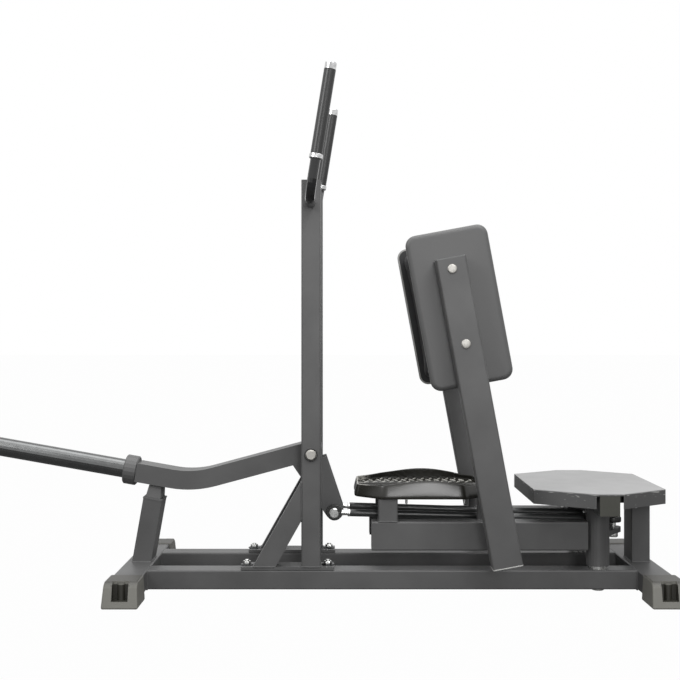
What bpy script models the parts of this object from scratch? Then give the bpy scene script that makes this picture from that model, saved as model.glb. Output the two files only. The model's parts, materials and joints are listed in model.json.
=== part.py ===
# Standing hip abductor machine, loaded with weight plates.
# Metres, Z up. The user stands on the pedals facing -X, so left is -Y.
# X runs from the plate sleeve in front (-X) to the step behind (+X).
import math

import bmesh
import bpy
from mathutils import Matrix, Vector

# Clearances: between fixed neighbours, round a turning shaft, at the open ball joint
FIT = 0.0003
RUNNING = 0.0005
BALL_PLAY = 0.003
ROUND_STEPS = 24

# Base: two rails welded between two cross beams that end in moulded feet
RAIL_WIDTH = 0.060
RAIL_HEIGHT = 0.050
TUBE_WALL = 0.003
TUBE_CORNER = 0.004
BEAM_WIDTH = 0.075
BEAM_HEIGHT = 0.050
BEAM_LENGTH = 0.520
REAR_BEAM_BACK = 0.1325
FOOT_SIDE = 0.0075
FOOT_TOP_SIDE = 0.0035
FOOT_SOLE = 0.010
FOOT_ROOF = 0.003
FOOT_SOCKET = 0.060
FOOT_END = 0.0387
FOOT_DRAFT = 0.012
FOOT_ROUND = 0.018
POCKET_WIDTH = 0.040
POCKET_WALL = 0.0095
POCKET_FLOOR = 0.018

# Uprights with base plates and front braces
UPRIGHT_X = -0.0085
UPRIGHT_SIZE = 0.050
UPRIGHT_LENGTH = 0.9964
PLATE_THICKNESS = 0.008
PLATE_REAR_REACH = 0.034
PLATE_FRONT_MARGIN = 0.031
BRACE_ANGLE = 60.5
BRACE_TOP_Z = 0.2365

# Handles: a bent tube out of each upright, with collar, grip and end cap
HANDLE_BELOW_TOP = 0.061
HANDLE_REACH = 0.122
HANDLE_RADIUS = 0.0125
HANDLE_BEND = 0.045
HANDLE_LEAN = 9.2
COLLAR_ALONG = 0.094
COLLAR_LENGTH = 0.013
COLLAR_RADIUS = 0.017
GRIP_LENGTH = 0.209
GRIP_RADIUS = 0.0148
GRIP_CAP_LENGTH = 0.018

# Weight lever, turning on a cross bolt between the uprights
LEVER_PIVOT_Z = 0.357
LEVER_WIDTH = 0.075
LEVER_HEIGHT = 0.050
LEVER_REAR_SLOPE = 15.0
LEVER_FRONT_RISE = 10.0
LEVER_REAR_RUN = 0.3304
LEVER_FRONT_RUN = 0.1545
LEVER_BEND = 0.26
LEVER_TAIL = 0.018
HUB_INSET = 0.001
HUB_SIDE_GAP = 0.0015
LEVER_BOLT_RADIUS = 0.010
LEVER_BOLT_HEAD = 0.0135
LEVER_BOLT_HEAD_LENGTH = 0.007
LEVER_WASHER_RADIUS = 0.0165
LEVER_WASHER_THICKNESS = 0.0025
SLEEVE_COLLAR_RADIUS = 0.0395
SLEEVE_COLLAR_LENGTH = 0.035
SLEEVE_RADIUS = 0.025
SLEEVE_LENGTH = 0.3966
SLEEVE_CAP = 0.004

# Stop post on the front beam, with a rubber bumper under the lever
BUMPER_HEIGHT = 0.0385
BUMPER_RIM = 0.004
BUMPER_RIM_PROUD = 0.001
BUMPER_TOP_LENGTH = 0.034
BUMPER_TOP_WIDTH = 0.058
STOP_POST_DEPTH = 0.050
STOP_POST_WIDTH = 0.075
STOP_POST_FOOT = 0.004
STOP_ALONG_LEVER = 0.0977

# Link below the lever: two plates, a cross pin and one ball for each push rod
LINK_BACK = 0.0595
LINK_ABOVE_ARM = 0.0116
LINK_SIDE_ROOM = 0.0129
LINK_PLATE_THICKNESS = 0.010
LINK_PLATE_FRONT = 0.0512
LINK_PLATE_REAR = 0.0365
LINK_PLATE_NOSE = 0.0245
LINK_PIN_RADIUS = 0.008
LINK_PIN_HEAD = 0.0135
LINK_PIN_HEAD_LENGTH = 0.009
LINK_SPACER_RADIUS = 0.0115
LINK_SPACER_LENGTH = 0.0111
BALL_RADIUS = 0.0125
BALL_WIDTH = 0.0176
ROD_EYE_RADIUS = 0.021
ROD_EYE_WIDTH = 0.013
ROD_EYE_REACH = 0.0215
ROD_STUD_RADIUS = 0.007
ROD_STUD_LENGTH = 0.020
ROD_RADIUS = 0.0095

# Vertical pivots of the swing arms, between the rails and the step's cross tube
PIVOT_RADIUS = 0.012
PIVOT_HEAD_RADIUS = 0.018
PIVOT_HEAD_LENGTH = 0.006
PIVOT_WASHER_RADIUS = 0.024
PIVOT_WASHER_THICKNESS = 0.008
PIVOT_TOP_MARGIN = 0.004
PIVOT_SLEEVE_RADIUS = 0.030
PIVOT_SLEEVE_LENGTH = 0.1463
PIVOT_SLEEVE_WALL = 0.004
PIVOT_BUSH_LENGTH = 0.020
CRANK_BACK = 0.0575
CRANK_IN = 0.067
CRANK_RAISE = 0.0742
CRANK_THICKNESS = 0.013
CRANK_END_RADIUS = 0.020
CRANK_NUT_RADIUS = 0.011
CRANK_NUT_LENGTH = 0.014
CRANK_STUD_RADIUS = 0.007
CRANK_BALL_RADIUS = 0.0098
CRANK_BALL_RISE = 0.0195

# Swing arms with their pedals
ARM_LENGTH = 0.558
ARM_WIDTH = 0.050
ARM_HEIGHT = 0.075
ARM_ABOVE_RAIL = 0.049
PEDAL_POST_SETBACK = 0.0175
PEDAL_POST_SIZE = 0.050
PEDAL_POST_HEIGHT = 0.057
PEDAL_REAR_POST_SETBACK = 0.2766
PEDAL_REAR_POST_LENGTH = 0.020
PEDAL_REAR_POST_WIDTH = 0.024
PEDAL_BEHIND_UPRIGHT = 0.1122
PEDAL_OVERHANG = 0.044
PEDAL_LENGTH = 0.343
PEDAL_OUTER_LIP = 0.006
PEDAL_INNER_Y = 0.012
PEDAL_FLOOR = 0.0195
PEDAL_RIM = 0.013
PEDAL_HUMP = 0.015
PEDAL_HUMP_SKEW = 1.22
PEDAL_INNER_RIM = 0.003
PEDAL_WALL = 0.006
PEDAL_TAPER = 0.052
PEDAL_ROUND = 0.022

# Thigh pads on leaning posts that stand off the swing arms' outer sides on short stubs
PAD_LEAN = 10.5
PAD_STAND_OFF = 0.070
PAD_STUB_SIZE = 0.050
PAD_STUB_BEHIND_POST = 0.0092
PAD_STUB_WELD = 0.0015
PAD_POST_WIDTH = 0.075
PAD_POST_DEPTH = 0.050
PAD_POST_LENGTH = 0.7743
PAD_POST_BEHIND_PEDAL = 0.0241
PAD_POST_DROP = 0.0553
PAD_BELOW_TOP = 0.1226
PAD_OFFSET = 0.0041
PAD_WIDTH = 0.210
PAD_HEIGHT = 0.397
PAD_CORNER = 0.027
PAD_BOARD = 0.012
PAD_BOARD_MARGIN = 0.008
PAD_FOAM = 0.045
PAD_PULL = 0.004

# Step: an eight sided deck on a leg and on the cross tube that carries the pivots
DECK_DEPTH = 0.037
DECK_PLATE = 0.0025
DECK_MAT = 0.002
DECK_FRONT_REACH = 0.174
DECK_REAR_REACH = 0.1635
DECK_WIDTH = 0.474
DECK_END_WIDTH = 0.304
DECK_SIDE_LENGTH = 0.073
CROSS_TUBE_SIZE = 0.050
CROSS_CAP_FLANGE = 0.003
CROSS_CAP_PLUG = 0.020
LEG_DEPTH = 0.050
LEG_WIDTH = 0.078

# Heights that follow from the sizes above
beamTop = FOOT_SOLE + BEAM_HEIGHT
railTop = FOOT_SOLE + RAIL_HEIGHT
plateTop = railTop + FIT + PLATE_THICKNESS
uprightTop = plateTop + FIT + UPRIGHT_LENGTH
armUnder = railTop + ARM_ABOVE_RAIL
armTop = armUnder + ARM_HEIGHT
pedalUnder = armTop + PEDAL_POST_HEIGHT + 2 * FIT
sleeveLow = railTop + PIVOT_WASHER_THICKNESS + 2 * FIT
crankUnder = sleeveLow + CRANK_RAISE
crankBallZ = crankUnder + CRANK_THICKNESS + CRANK_BALL_RISE
crossUnder = sleeveLow + PIVOT_SLEEVE_LENGTH + FIT
crossTop = crossUnder + CROSS_TUBE_SIZE
plateUnder = crossTop + FIT
deckTop = plateUnder + DECK_PLATE + FIT + DECK_MAT

# Distances from the middle plane, worked outwards from the lever
ballY = LEVER_WIDTH / 2 + LINK_SPACER_LENGTH + BALL_WIDTH / 2 + 2 * FIT
linkPinReach = ballY + BALL_WIDTH / 2 + FIT
uprightInner = linkPinReach + LINK_PIN_HEAD_LENGTH + LINK_SIDE_ROOM
railOuter = uprightInner + UPRIGHT_SIZE
uprightY = uprightInner + UPRIGHT_SIZE / 2
railY = railOuter - RAIL_WIDTH / 2
armOuter = railY + ARM_WIDTH / 2
crossLength = DECK_WIDTH - 2 * (CROSS_CAP_FLANGE + FIT)

# Places along the machine, worked backwards from the uprights
pedalFront = UPRIGHT_X + PEDAL_BEHIND_UPRIGHT
armFront = pedalFront + PEDAL_OVERHANG
armRear = armFront + ARM_LENGTH
pivotX = armRear + FIT + PIVOT_SLEEVE_RADIUS
rearBeamX = pivotX + REAR_BEAM_BACK
padPostX = pedalFront + PEDAL_LENGTH + PAD_POST_BEHIND_PEDAL

# The lever's bend, the link pin below it, and the stop post's foot ahead of it
leverPivot = Vector((UPRIGHT_X, 0, LEVER_PIVOT_Z))
linkPin = Vector((UPRIGHT_X + LINK_BACK, 0, armTop + LINK_ABOVE_ARM))
rearSlope = math.radians(LEVER_REAR_SLOPE)
frontRise = math.radians(LEVER_FRONT_RISE)
leverBend = leverPivot - Vector((math.cos(rearSlope), 0, math.sin(rearSlope))) * LEVER_REAR_RUN
leverForward = Vector((-math.cos(frontRise), 0, math.sin(frontRise)))
leverUpward = Vector((math.sin(frontRise), 0, math.cos(frontRise)))
stopHeight = (leverBend.z + STOP_ALONG_LEVER * math.sin(frontRise) - beamTop - FIT) / math.cos(frontRise)
stopFoot = leverBend + leverForward * STOP_ALONG_LEVER - leverUpward * stopHeight
frontBeamX = stopFoot.x - STOP_POST_FOOT
sides = {"left": -1, "right": 1}

# Looks: colour, roughness, metallic
CHARCOAL_PAINT = ((0.085, 0.087, 0.088), 0.45, 0.0)
DARK_STEEL = ((0.16, 0.165, 0.17), 0.30, 1.0)
BRIGHT_STEEL = ((0.72, 0.72, 0.70), 0.22, 1.0)
BLACK_RUBBER = ((0.018, 0.018, 0.019), 0.75, 0.0)
OLIVE_PLASTIC = ((0.115, 0.115, 0.095), 0.55, 0.0)
BLACK_PLASTIC = ((0.020, 0.020, 0.017), 0.35, 0.0)
BLACK_VINYL = ((0.022, 0.022, 0.023), 0.50, 0.0)
GREY_BOARD = ((0.085, 0.087, 0.088), 0.60, 0.0)
PALE_MAT = ((0.38, 0.38, 0.38), 0.80, 0.0)

for leftover in list(bpy.data.objects):
    bpy.data.objects.remove(leftover, do_unlink=True)
partSet = bpy.data.collections.new("standing_hip_abductor_machine")
cutterSet = bpy.data.collections.new("cutters")
bpy.context.scene.collection.children.link(partSet)
bpy.context.scene.collection.children.link(cutterSet)


def materialFor(name, look):
    """The part's own Principled material."""
    colour, roughness, metallic = look
    material = bpy.data.materials.new(name)
    material.use_nodes = True
    shader = material.node_tree.nodes["Principled BSDF"]
    shader.inputs["Base Color"].default_value = (*colour, 1)
    shader.inputs["Roughness"].default_value = roughness
    shader.inputs["Metallic"].default_value = metallic
    return material


def addPart(name, mesh, look, place, axis=None):
    """One named sub-part; a moving one hangs from the empty on its joint's axis."""
    part = bpy.data.objects.new(name, mesh)
    part.matrix_world = place
    partSet.objects.link(part)
    mesh.materials.append(materialFor(name, look))
    if axis:
        part.parent = axis
        part.matrix_parent_inverse = Matrix.Translation(axis.location).inverted()
    return part


def addAxis(name, place):
    """An empty on a joint's axis, which carries the pieces that move with it."""
    axis = bpy.data.objects.new(name, None)
    axis.location = place
    partSet.objects.link(axis)
    return axis


def meshFrom(bm, name):
    mesh = bpy.data.meshes.new(name)
    bm.to_mesh(mesh)
    bm.free()
    return mesh


def at(x, y, z):
    return Matrix.Translation((x, y, z))


def leaning(degrees):
    """A turn about Y that leans the top towards +X."""
    return Matrix.Rotation(math.radians(degrees), 4, "Y")


lyingAlongX = Matrix.Rotation(math.radians(90), 4, "Y")
lyingAlongY = Matrix.Rotation(math.radians(-90), 4, "X")
# Sends an outline's X and Y to the side view's X and Z, and its thickness to Y
sideView = Matrix(((1, 0, 0, 0), (0, 0, -1, 0), (0, 1, 0, 0), (0, 0, 0, 1)))


def boxMesh(name, size):
    bm = bmesh.new()
    bmesh.ops.create_cube(bm, size=1)
    bmesh.ops.scale(bm, vec=size, verts=bm.verts)
    return meshFrom(bm, name)


def rodMesh(name, radius, length):
    bm = bmesh.new()
    bmesh.ops.create_cone(
        bm, cap_ends=True, segments=ROUND_STEPS, radius1=radius, radius2=radius, depth=length)
    mesh = meshFrom(bm, name)
    smooth(mesh)
    return mesh


def smooth(mesh):
    mesh.shade_smooth()
    mesh.set_sharp_from_angle(angle=math.radians(35))


def slabMesh(name, outlines, thickness):
    """Closed XY outlines, filled between them, with the thickness centred on Z."""
    curve = bpy.data.curves.new(name, "CURVE")
    curve.dimensions = "2D"
    curve.fill_mode = "BOTH"
    curve.extrude = thickness / 2
    for outline in outlines:
        spline = curve.splines.new("POLY")
        spline.points.add(len(outline) - 1)
        for point, (x, y) in zip(spline.points, outline):
            point.co = (x, y, 0, 1)
        spline.use_cyclic_u = True
    return meshOfCurve(name, curve)


def pipeMesh(name, points, radius, fineness):
    """A round bar along a path, with filled ends."""
    curve = bpy.data.curves.new(name, "CURVE")
    curve.dimensions = "3D"
    curve.bevel_depth = radius
    curve.bevel_resolution = fineness
    curve.use_fill_caps = True
    spline = curve.splines.new("POLY")
    spline.points.add(len(points) - 1)
    for point, place in zip(spline.points, points):
        point.co = (*place, 1)
    return meshOfCurve(name, curve)


def meshOfCurve(name, curve):
    holder = bpy.data.objects.new(name, curve)
    partSet.objects.link(holder)
    graph = bpy.context.evaluated_depsgraph_get()
    mesh = bpy.data.meshes.new_from_object(holder.evaluated_get(graph))
    bpy.data.objects.remove(holder, do_unlink=True)
    bm = bmesh.new()
    bm.from_mesh(mesh)
    bmesh.ops.remove_doubles(bm, verts=bm.verts, dist=0.00001)
    bmesh.ops.recalc_face_normals(bm, faces=bm.faces)
    bm.to_mesh(mesh)
    bm.free()
    smooth(mesh)
    return mesh


def addTube(name, size, look, place, closedTop=False, axis=None, wall=TUBE_WALL):
    """Rectangular tube along its own Z: open walls given their thickness inwards."""
    bm = bmesh.new()
    bmesh.ops.create_cube(bm, size=1)
    bmesh.ops.scale(bm, vec=size, verts=bm.verts)
    upright = [e for e in bm.edges if abs(e.verts[0].co.z - e.verts[1].co.z) > size[2] / 2]
    bmesh.ops.bevel(bm, geom=upright, offset=TUBE_CORNER, segments=3, profile=0.5, affect="EDGES")
    bm.normal_update()
    ends = [f for f in bm.faces if f.normal.z < -0.5 or (f.normal.z > 0.5 and not closedTop)]
    bmesh.ops.delete(bm, geom=ends, context="FACES_ONLY")
    mesh = meshFrom(bm, name)
    smooth(mesh)
    part = addPart(name, mesh, look, place, axis)
    walls = part.modifiers.new("walls", "SOLIDIFY")
    walls.thickness = wall
    walls.offset = -1
    walls.use_even_offset = True
    return part


def addTurned(name, profile, look, place, axis=None, ring=False):
    """A profile of (radius, height) points, down the outer side, turned about Z."""
    points = [(radius, 0, height) for radius, height in profile]
    edges = [(i, i + 1) for i in range(len(points) - 1)]
    if ring:
        edges.append((len(points) - 1, 0))
    mesh = bpy.data.meshes.new(name)
    mesh.from_pydata(points, edges, [])
    part = addPart(name, mesh, look, place, axis)
    turn = part.modifiers.new("turn", "SCREW")
    turn.steps = ROUND_STEPS
    turn.render_steps = ROUND_STEPS
    turn.use_merge_vertices = True
    turn.merge_threshold = 0.00001
    return part


def combine(part, name, mesh, place, operation="DIFFERENCE"):
    """Cuts the part with a hidden shape, or joins the shape to it."""
    tool = bpy.data.objects.new(name, mesh)
    tool.matrix_world = place
    tool.hide_render = True
    tool.display_type = "WIRE"
    cutterSet.objects.link(tool)
    step = part.modifiers.new(name, "BOOLEAN")
    step.operation = operation
    step.object = tool
    return tool


def drill(part, name, radius, length, place):
    combine(part, part.name + "_" + name, rodMesh(name, radius, length), place)


def soften(part, width, segments=2):
    bevel = part.modifiers.new("softened edges", "BEVEL")
    bevel.width = width
    bevel.segments = segments
    bevel.limit_method = "ANGLE"
    bevel.angle_limit = math.radians(50)


def arc(centre, radius, start, end, steps):
    """Points round a centre from one angle to another, in degrees from +X."""
    points = []
    for step in range(steps + 1):
        angle = math.radians(start + (end - start) * step / steps)
        points.append((centre[0] + radius * math.cos(angle), centre[1] + radius * math.sin(angle)))
    return points


def roundedRectangle(width, height, radius, steps):
    x, y = width / 2 - radius, height / 2 - radius
    corners = ((x, y, 0), (-x, y, 90), (-x, -y, 180), (x, -y, 270))
    return [p for cx, cy, turn in corners for p in arc((cx, cy), radius, turn, turn + 90, steps)]


def roundedCorners(points, radius, steps):
    """A convex outline, counter-clockwise, with an arc in each corner."""
    outline = []
    count = len(points)
    for i in range(count):
        before, here, after = (Vector(points[(i + k) % count]) for k in (-1, 0, 1))
        inward, outward = (here - before).normalized(), (after - here).normalized()
        turn = math.acos(max(-1, min(1, inward.dot(outward))))
        tangent = radius * math.tan(turn / 2)
        centre = here - inward * tangent + Vector((-inward.y, inward.x)) * radius
        start = math.degrees(math.atan2(-inward.x, inward.y))
        outline += arc(centre, radius, start, start + math.degrees(turn), steps)
    return outline


def inset(points, distance):
    """A convex outline, counter-clockwise, with every side moved inwards."""
    moved = []
    count = len(points)
    for i in range(count):
        before, here, after = (Vector(points[(i + k) % count]) for k in (-1, 0, 1))
        first, second = (here - before).normalized(), (after - here).normalized()
        bisector = Vector((-first.y - second.y, first.x + second.x)).normalized()
        depth = distance / bisector.dot(Vector((-first.y, first.x)))
        moved.append(tuple(here + bisector * depth))
    return moved


def addRails():
    start = frontBeamX + BEAM_WIDTH / 2 + FIT
    end = rearBeamX - BEAM_WIDTH / 2 - FIT
    middle = (start + end) / 2
    for side, sign in sides.items():
        place = at(middle, sign * railY, FOOT_SOLE + RAIL_HEIGHT / 2) @ lyingAlongX
        rail = addTube(side + "_rail", (RAIL_HEIGHT, RAIL_WIDTH, end - start), CHARCOAL_PAINT, place)
        hole = at(pivotX, sign * railY, railTop - RAIL_HEIGHT / 2)
        drill(rail, "axle_hole", PIVOT_RADIUS + FIT, 2 * RAIL_HEIGHT, hole)


def addCrossBeams():
    for end, x in (("front", frontBeamX), ("rear", rearBeamX)):
        place = at(x, 0, FOOT_SOLE + BEAM_HEIGHT / 2) @ lyingAlongY
        addTube(end + "_cross_beam", (BEAM_WIDTH, BEAM_HEIGHT, BEAM_LENGTH), CHARCOAL_PAINT, place)


def addFoot(name, x, sign):
    """Moulded cap on a beam's end: sloping nose, socket, and a pocket with a bolt boss."""
    height = beamTop + FOOT_ROOF
    rim = BEAM_LENGTH / 2 - FOOT_SOCKET
    socketEnd = BEAM_LENGTH / 2 + FIT
    nose = socketEnd + FOOT_END
    width = BEAM_WIDTH + 2 * FOOT_SIDE
    topWidth = BEAM_WIDTH + 2 * FOOT_TOP_SIDE
    top = nose - FOOT_DRAFT
    centre = (top - FOOT_ROUND, height - FOOT_ROUND)
    outline = [(rim, 0), (nose, 0)] + arc(centre, FOOT_ROUND, 12, 90, 5) + [(rim, height)]
    mesh = slabMesh(name, [outline], width)
    for vertex in mesh.vertices:
        narrowing = vertex.co.y / height * (1 - topWidth / width)
        vertex.co.z *= 1 - narrowing
    quarter = Matrix.Rotation(math.radians(90 * sign), 4, "Z")
    foot = addPart(name, mesh, OLIVE_PLASTIC, at(x, 0, 0) @ quarter @ sideView)
    soften(foot, 0.004)
    socket = boxMesh(name, (BEAM_WIDTH + 2 * FIT, 2 * FOOT_SOCKET, BEAM_HEIGHT + 2 * FIT))
    middle = sign * (socketEnd - FOOT_SOCKET)
    combine(foot, name + "_socket", socket, at(x, middle, FOOT_SOLE + BEAM_HEIGHT / 2))
    pocketHeight = height - POCKET_FLOOR
    pocketDepth = FOOT_END - POCKET_WALL
    pocket = boxMesh(name, (POCKET_WIDTH, 2 * pocketDepth, 2 * pocketHeight))
    combine(foot, name + "_pocket", pocket, at(x, sign * nose, height))
    boss = rodMesh(name, POCKET_WALL - FIT, pocketHeight - FOOT_ROOF)
    bossPlace = at(x, sign * (socketEnd + POCKET_WALL), POCKET_FLOOR + (pocketHeight - FOOT_ROOF) / 2 - FIT)
    combine(foot, name + "_boss", boss, bossPlace, "UNION")


def addUprights():
    for side, sign in sides.items():
        size = (UPRIGHT_SIZE, UPRIGHT_SIZE, UPRIGHT_LENGTH)
        place = at(UPRIGHT_X, sign * uprightY, uprightTop - UPRIGHT_LENGTH / 2)
        upright = addTube(side + "_upright", size, CHARCOAL_PAINT, place, closedTop=True)
        hole = at(UPRIGHT_X, sign * uprightY, LEVER_PIVOT_Z) @ lyingAlongY
        drill(upright, "bolt_hole", LEVER_BOLT_RADIUS + FIT, 2 * UPRIGHT_SIZE, hole)


def braceOutline(half, beyond):
    """The brace's edges in side view, from the base plate up to the upright's front face."""
    angle = math.radians(BRACE_ANGLE)
    face = UPRIGHT_X - UPRIGHT_SIZE / 2 - FIT + beyond
    floor = plateTop + FIT - beyond
    slope = math.tan(angle)
    rise = half / math.cos(angle)
    centre = BRACE_TOP_Z + beyond * slope
    upper, lower = centre + rise, centre - rise
    return [(face - (lower - floor) / slope, floor), (face, lower), (face, upper),
            (face - (upper - floor) / slope, floor)]


def addBraces():
    """Base plate and hollow diagonal brace in front of each upright."""
    front = braceOutline(UPRIGHT_SIZE / 2, 0)[3][0] - PLATE_FRONT_MARGIN
    rear = UPRIGHT_X + UPRIGHT_SIZE / 2 + PLATE_REAR_REACH
    for side, sign in sides.items():
        place = at((front + rear) / 2, sign * railY, plateTop - PLATE_THICKNESS / 2)
        mesh = boxMesh(side + "_base_plate", (rear - front, RAIL_WIDTH, PLATE_THICKNESS))
        addPart(side + "_base_plate", mesh, CHARCOAL_PAINT, place)
        mesh = slabMesh(side + "_brace", [braceOutline(UPRIGHT_SIZE / 2, 0)], UPRIGHT_SIZE)
        place = at(0, sign * uprightY, 0) @ sideView
        brace = addPart(side + "_brace", mesh, CHARCOAL_PAINT, place)
        inner = UPRIGHT_SIZE - 2 * TUBE_WALL
        bore = slabMesh("bore", [braceOutline(inner / 2, 0.01)], inner)
        combine(brace, side + "_brace_bore", bore, place)


def addHandles():
    """Tube out of the upright's outer face, bent up and leaning back, with its grip."""
    lean = math.radians(HANDLE_LEAN)
    up = Vector((math.sin(lean), 0, math.cos(lean)))
    z = uprightTop - HANDLE_BELOW_TOP
    gripStart = COLLAR_ALONG + COLLAR_LENGTH + FIT
    gripEnd = gripStart + GRIP_LENGTH
    for side, sign in sides.items():
        out = Vector((0, sign, 0))
        corner = Vector((UPRIGHT_X, sign * (railOuter + HANDLE_REACH), z))
        centre = corner + (up - out) * HANDLE_BEND
        root = Vector((UPRIGHT_X, sign * (railOuter + FIT), z))
        bend = []
        for step in range(9):
            turn = math.radians(90 * step / 8)
            bend.append(centre - up * HANDLE_BEND * math.cos(turn) + out * HANDLE_BEND * math.sin(turn))
        points = [root] + bend + [corner + up * gripEnd]
        mesh = pipeMesh(side + "_handle", points, HANDLE_RADIUS, 4)
        addPart(side + "_handle", mesh, CHARCOAL_PAINT, Matrix())
        line = Matrix.Translation(corner) @ leaning(HANDLE_LEAN)
        bore = HANDLE_RADIUS + FIT
        addSleeve(side + "_grip_collar", bore, COLLAR_RADIUS, COLLAR_LENGTH, BRIGHT_STEEL,
                  line @ at(0, 0, COLLAR_ALONG), 0.002)
        addSleeve(side + "_grip", bore, GRIP_RADIUS, GRIP_LENGTH, BLACK_RUBBER,
                  line @ at(0, 0, gripStart), 0.001)
        cap = [(0, GRIP_CAP_LENGTH), (GRIP_RADIUS - 0.003, GRIP_CAP_LENGTH),
               (GRIP_RADIUS - 0.0009, GRIP_CAP_LENGTH - 0.001), (GRIP_RADIUS, GRIP_CAP_LENGTH - 0.003),
               (GRIP_RADIUS, 0), (0, 0)]
        addTurned(side + "_grip_cap", cap, BRIGHT_STEEL, line @ at(0, 0, gripEnd + FIT))


def addSleeve(name, bore, radius, length, look, place, edge):
    """A round sleeve standing on its base, with chamfered rims."""
    profile = [(bore, length), (radius - edge, length), (radius, length - edge), (radius, edge),
               (radius - edge, 0), (bore, 0)]
    return addTurned(name, profile, look, place, ring=True)


def addStopPost():
    """Post leaning square to the lever's front part, with its rubber bumper on top."""
    length = stopHeight - LEVER_HEIGHT / 2 - BUMPER_HEIGHT - 2 * FIT
    frame = Matrix.Translation(stopFoot) @ leaning(LEVER_FRONT_RISE)
    half = STOP_POST_DEPTH / 2
    hem = half * math.tan(frontRise)
    outline = [(-half, -hem), (half, hem), (half, length), (-half, length)]
    post = addPart("stop_post", slabMesh("stop_post", [outline], STOP_POST_WIDTH), CHARCOAL_PAINT,
                   frame @ sideView)
    walls = 2 * TUBE_WALL
    hollow = boxMesh("hollow", (STOP_POST_DEPTH - walls, STOP_POST_WIDTH - walls, 3 * length))
    combine(post, "stop_post_bore", hollow, frame)
    bumper = bmesh.new()
    bmesh.ops.create_cube(bumper, size=1)
    base = (STOP_POST_DEPTH - 2 * TUBE_CORNER, STOP_POST_WIDTH - 2 * TUBE_CORNER)
    for vertex in bumper.verts:
        raised = vertex.co.z > 0
        vertex.co.x *= BUMPER_TOP_LENGTH if raised else base[0]
        vertex.co.y *= BUMPER_TOP_WIDTH if raised else base[1]
        vertex.co.z = BUMPER_HEIGHT if raised else BUMPER_RIM / 2
    seat = frame @ at(0, 0, length + FIT)
    block = addPart("stop_bumper", meshFrom(bumper, "stop_bumper"), BLACK_RUBBER, seat)
    soften(block, 0.003)
    proud = 2 * BUMPER_RIM_PROUD
    rim = boxMesh("rim", (STOP_POST_DEPTH + proud, STOP_POST_WIDTH + proud, BUMPER_RIM))
    combine(block, "stop_bumper_rim", rim, seat @ at(0, 0, BUMPER_RIM / 2), "UNION")


def leverOutline(half, beyond):
    """Lower and upper edges of the bent lever, parallel to its centre line."""
    front, rear = frontRise, -rearSlope
    tangent = LEVER_BEND * math.tan((front - rear) / 2)
    back = Vector((math.cos(rear), 0, -math.sin(rear)))
    centre = leverBend + leverForward * tangent + leverUpward * LEVER_BEND
    line = [(leverBend + leverForward * (LEVER_FRONT_RUN + beyond), front)]
    for step in range(9):
        angle = front + (rear - front) * step / 8
        line.append((centre - Vector((math.sin(angle), 0, math.cos(angle))) * LEVER_BEND, angle))
    line.append((leverBend + back * (LEVER_REAR_RUN + LEVER_TAIL + beyond), rear))
    lower = [(p.x - half * math.sin(a), p.z - half * math.cos(a)) for p, a in line]
    upper = [(p.x + half * math.sin(a), p.z + half * math.cos(a)) for p, a in line]
    return lower + upper[::-1]


def addLever(axis):
    """Bent rectangular tube with its hub, stop collar, plate sleeve and end cap."""
    mesh = slabMesh("lever_arm", [leverOutline(LEVER_HEIGHT / 2, 0)], LEVER_WIDTH)
    lever = addPart("lever_arm", mesh, CHARCOAL_PAINT, sideView, axis)
    inner = LEVER_HEIGHT / 2 - TUBE_WALL
    bore = slabMesh("bore", [leverOutline(inner, 0.01)], LEVER_WIDTH - 2 * TUBE_WALL)
    combine(lever, "lever_bore", bore, sideView)
    across = Matrix.Translation(leverPivot) @ lyingAlongY
    hubLength = 2 * (uprightInner - HUB_SIDE_GAP)
    combine(lever, "lever_hub", rodMesh("hub", LEVER_HEIGHT / 2 - HUB_INSET, hubLength), across, "UNION")
    drill(lever, "hub_bore", LEVER_BOLT_RADIUS + RUNNING, 2 * hubLength, across)
    start = leverBend + leverForward * (LEVER_FRONT_RUN + FIT)
    line = Matrix.Translation(start) @ leaning(LEVER_FRONT_RISE - 90)
    collar = addSleeve("sleeve_collar", SLEEVE_RADIUS + FIT, SLEEVE_COLLAR_RADIUS, SLEEVE_COLLAR_LENGTH,
                       CHARCOAL_PAINT, line, 0.003)
    hangFrom(collar, axis)
    sleeveEnd = SLEEVE_COLLAR_LENGTH + SLEEVE_LENGTH
    sleeve = addSleeve("weight_sleeve", SLEEVE_RADIUS - TUBE_WALL, SLEEVE_RADIUS, sleeveEnd, DARK_STEEL,
                       line, 0.0005)
    hangFrom(sleeve, axis)
    plug = SLEEVE_RADIUS - TUBE_WALL - FIT
    cap = [(0, SLEEVE_CAP), (SLEEVE_RADIUS - 0.003, SLEEVE_CAP), (SLEEVE_RADIUS - 0.001, SLEEVE_CAP / 2),
           (SLEEVE_RADIUS - 0.001, 0), (plug, 0), (plug, -0.02), (0, -0.02)]
    tip = line @ at(0, 0, sleeveEnd + FIT)
    addTurned("sleeve_end_cap", cap, BLACK_PLASTIC, tip, axis)


def hangFrom(part, axis):
    part.parent = axis
    part.matrix_parent_inverse = Matrix.Translation(axis.location).inverted()


def addBolt(name, radius, head, headLength, washer, washerLength, reach, spacer, look, place, axis=None):
    """Cross bolt, the same at both ends: shaft, washers, and spacers of (radius, from, to)."""
    top = [(0, reach + washerLength + headLength), (head * 0.8, reach + washerLength + headLength),
           (head, reach + washerLength + headLength * 0.6), (head, reach + washerLength),
           (washer, reach + washerLength), (washer, reach), (radius, reach)]
    if spacer:
        thick, near, far = spacer
        top += [(radius, far), (thick, far), (thick, near), (radius, near)]
    bottom = [(r, -z) for r, z in reversed(top)]
    return addTurned(name, top + bottom, look, place, axis)


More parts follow.
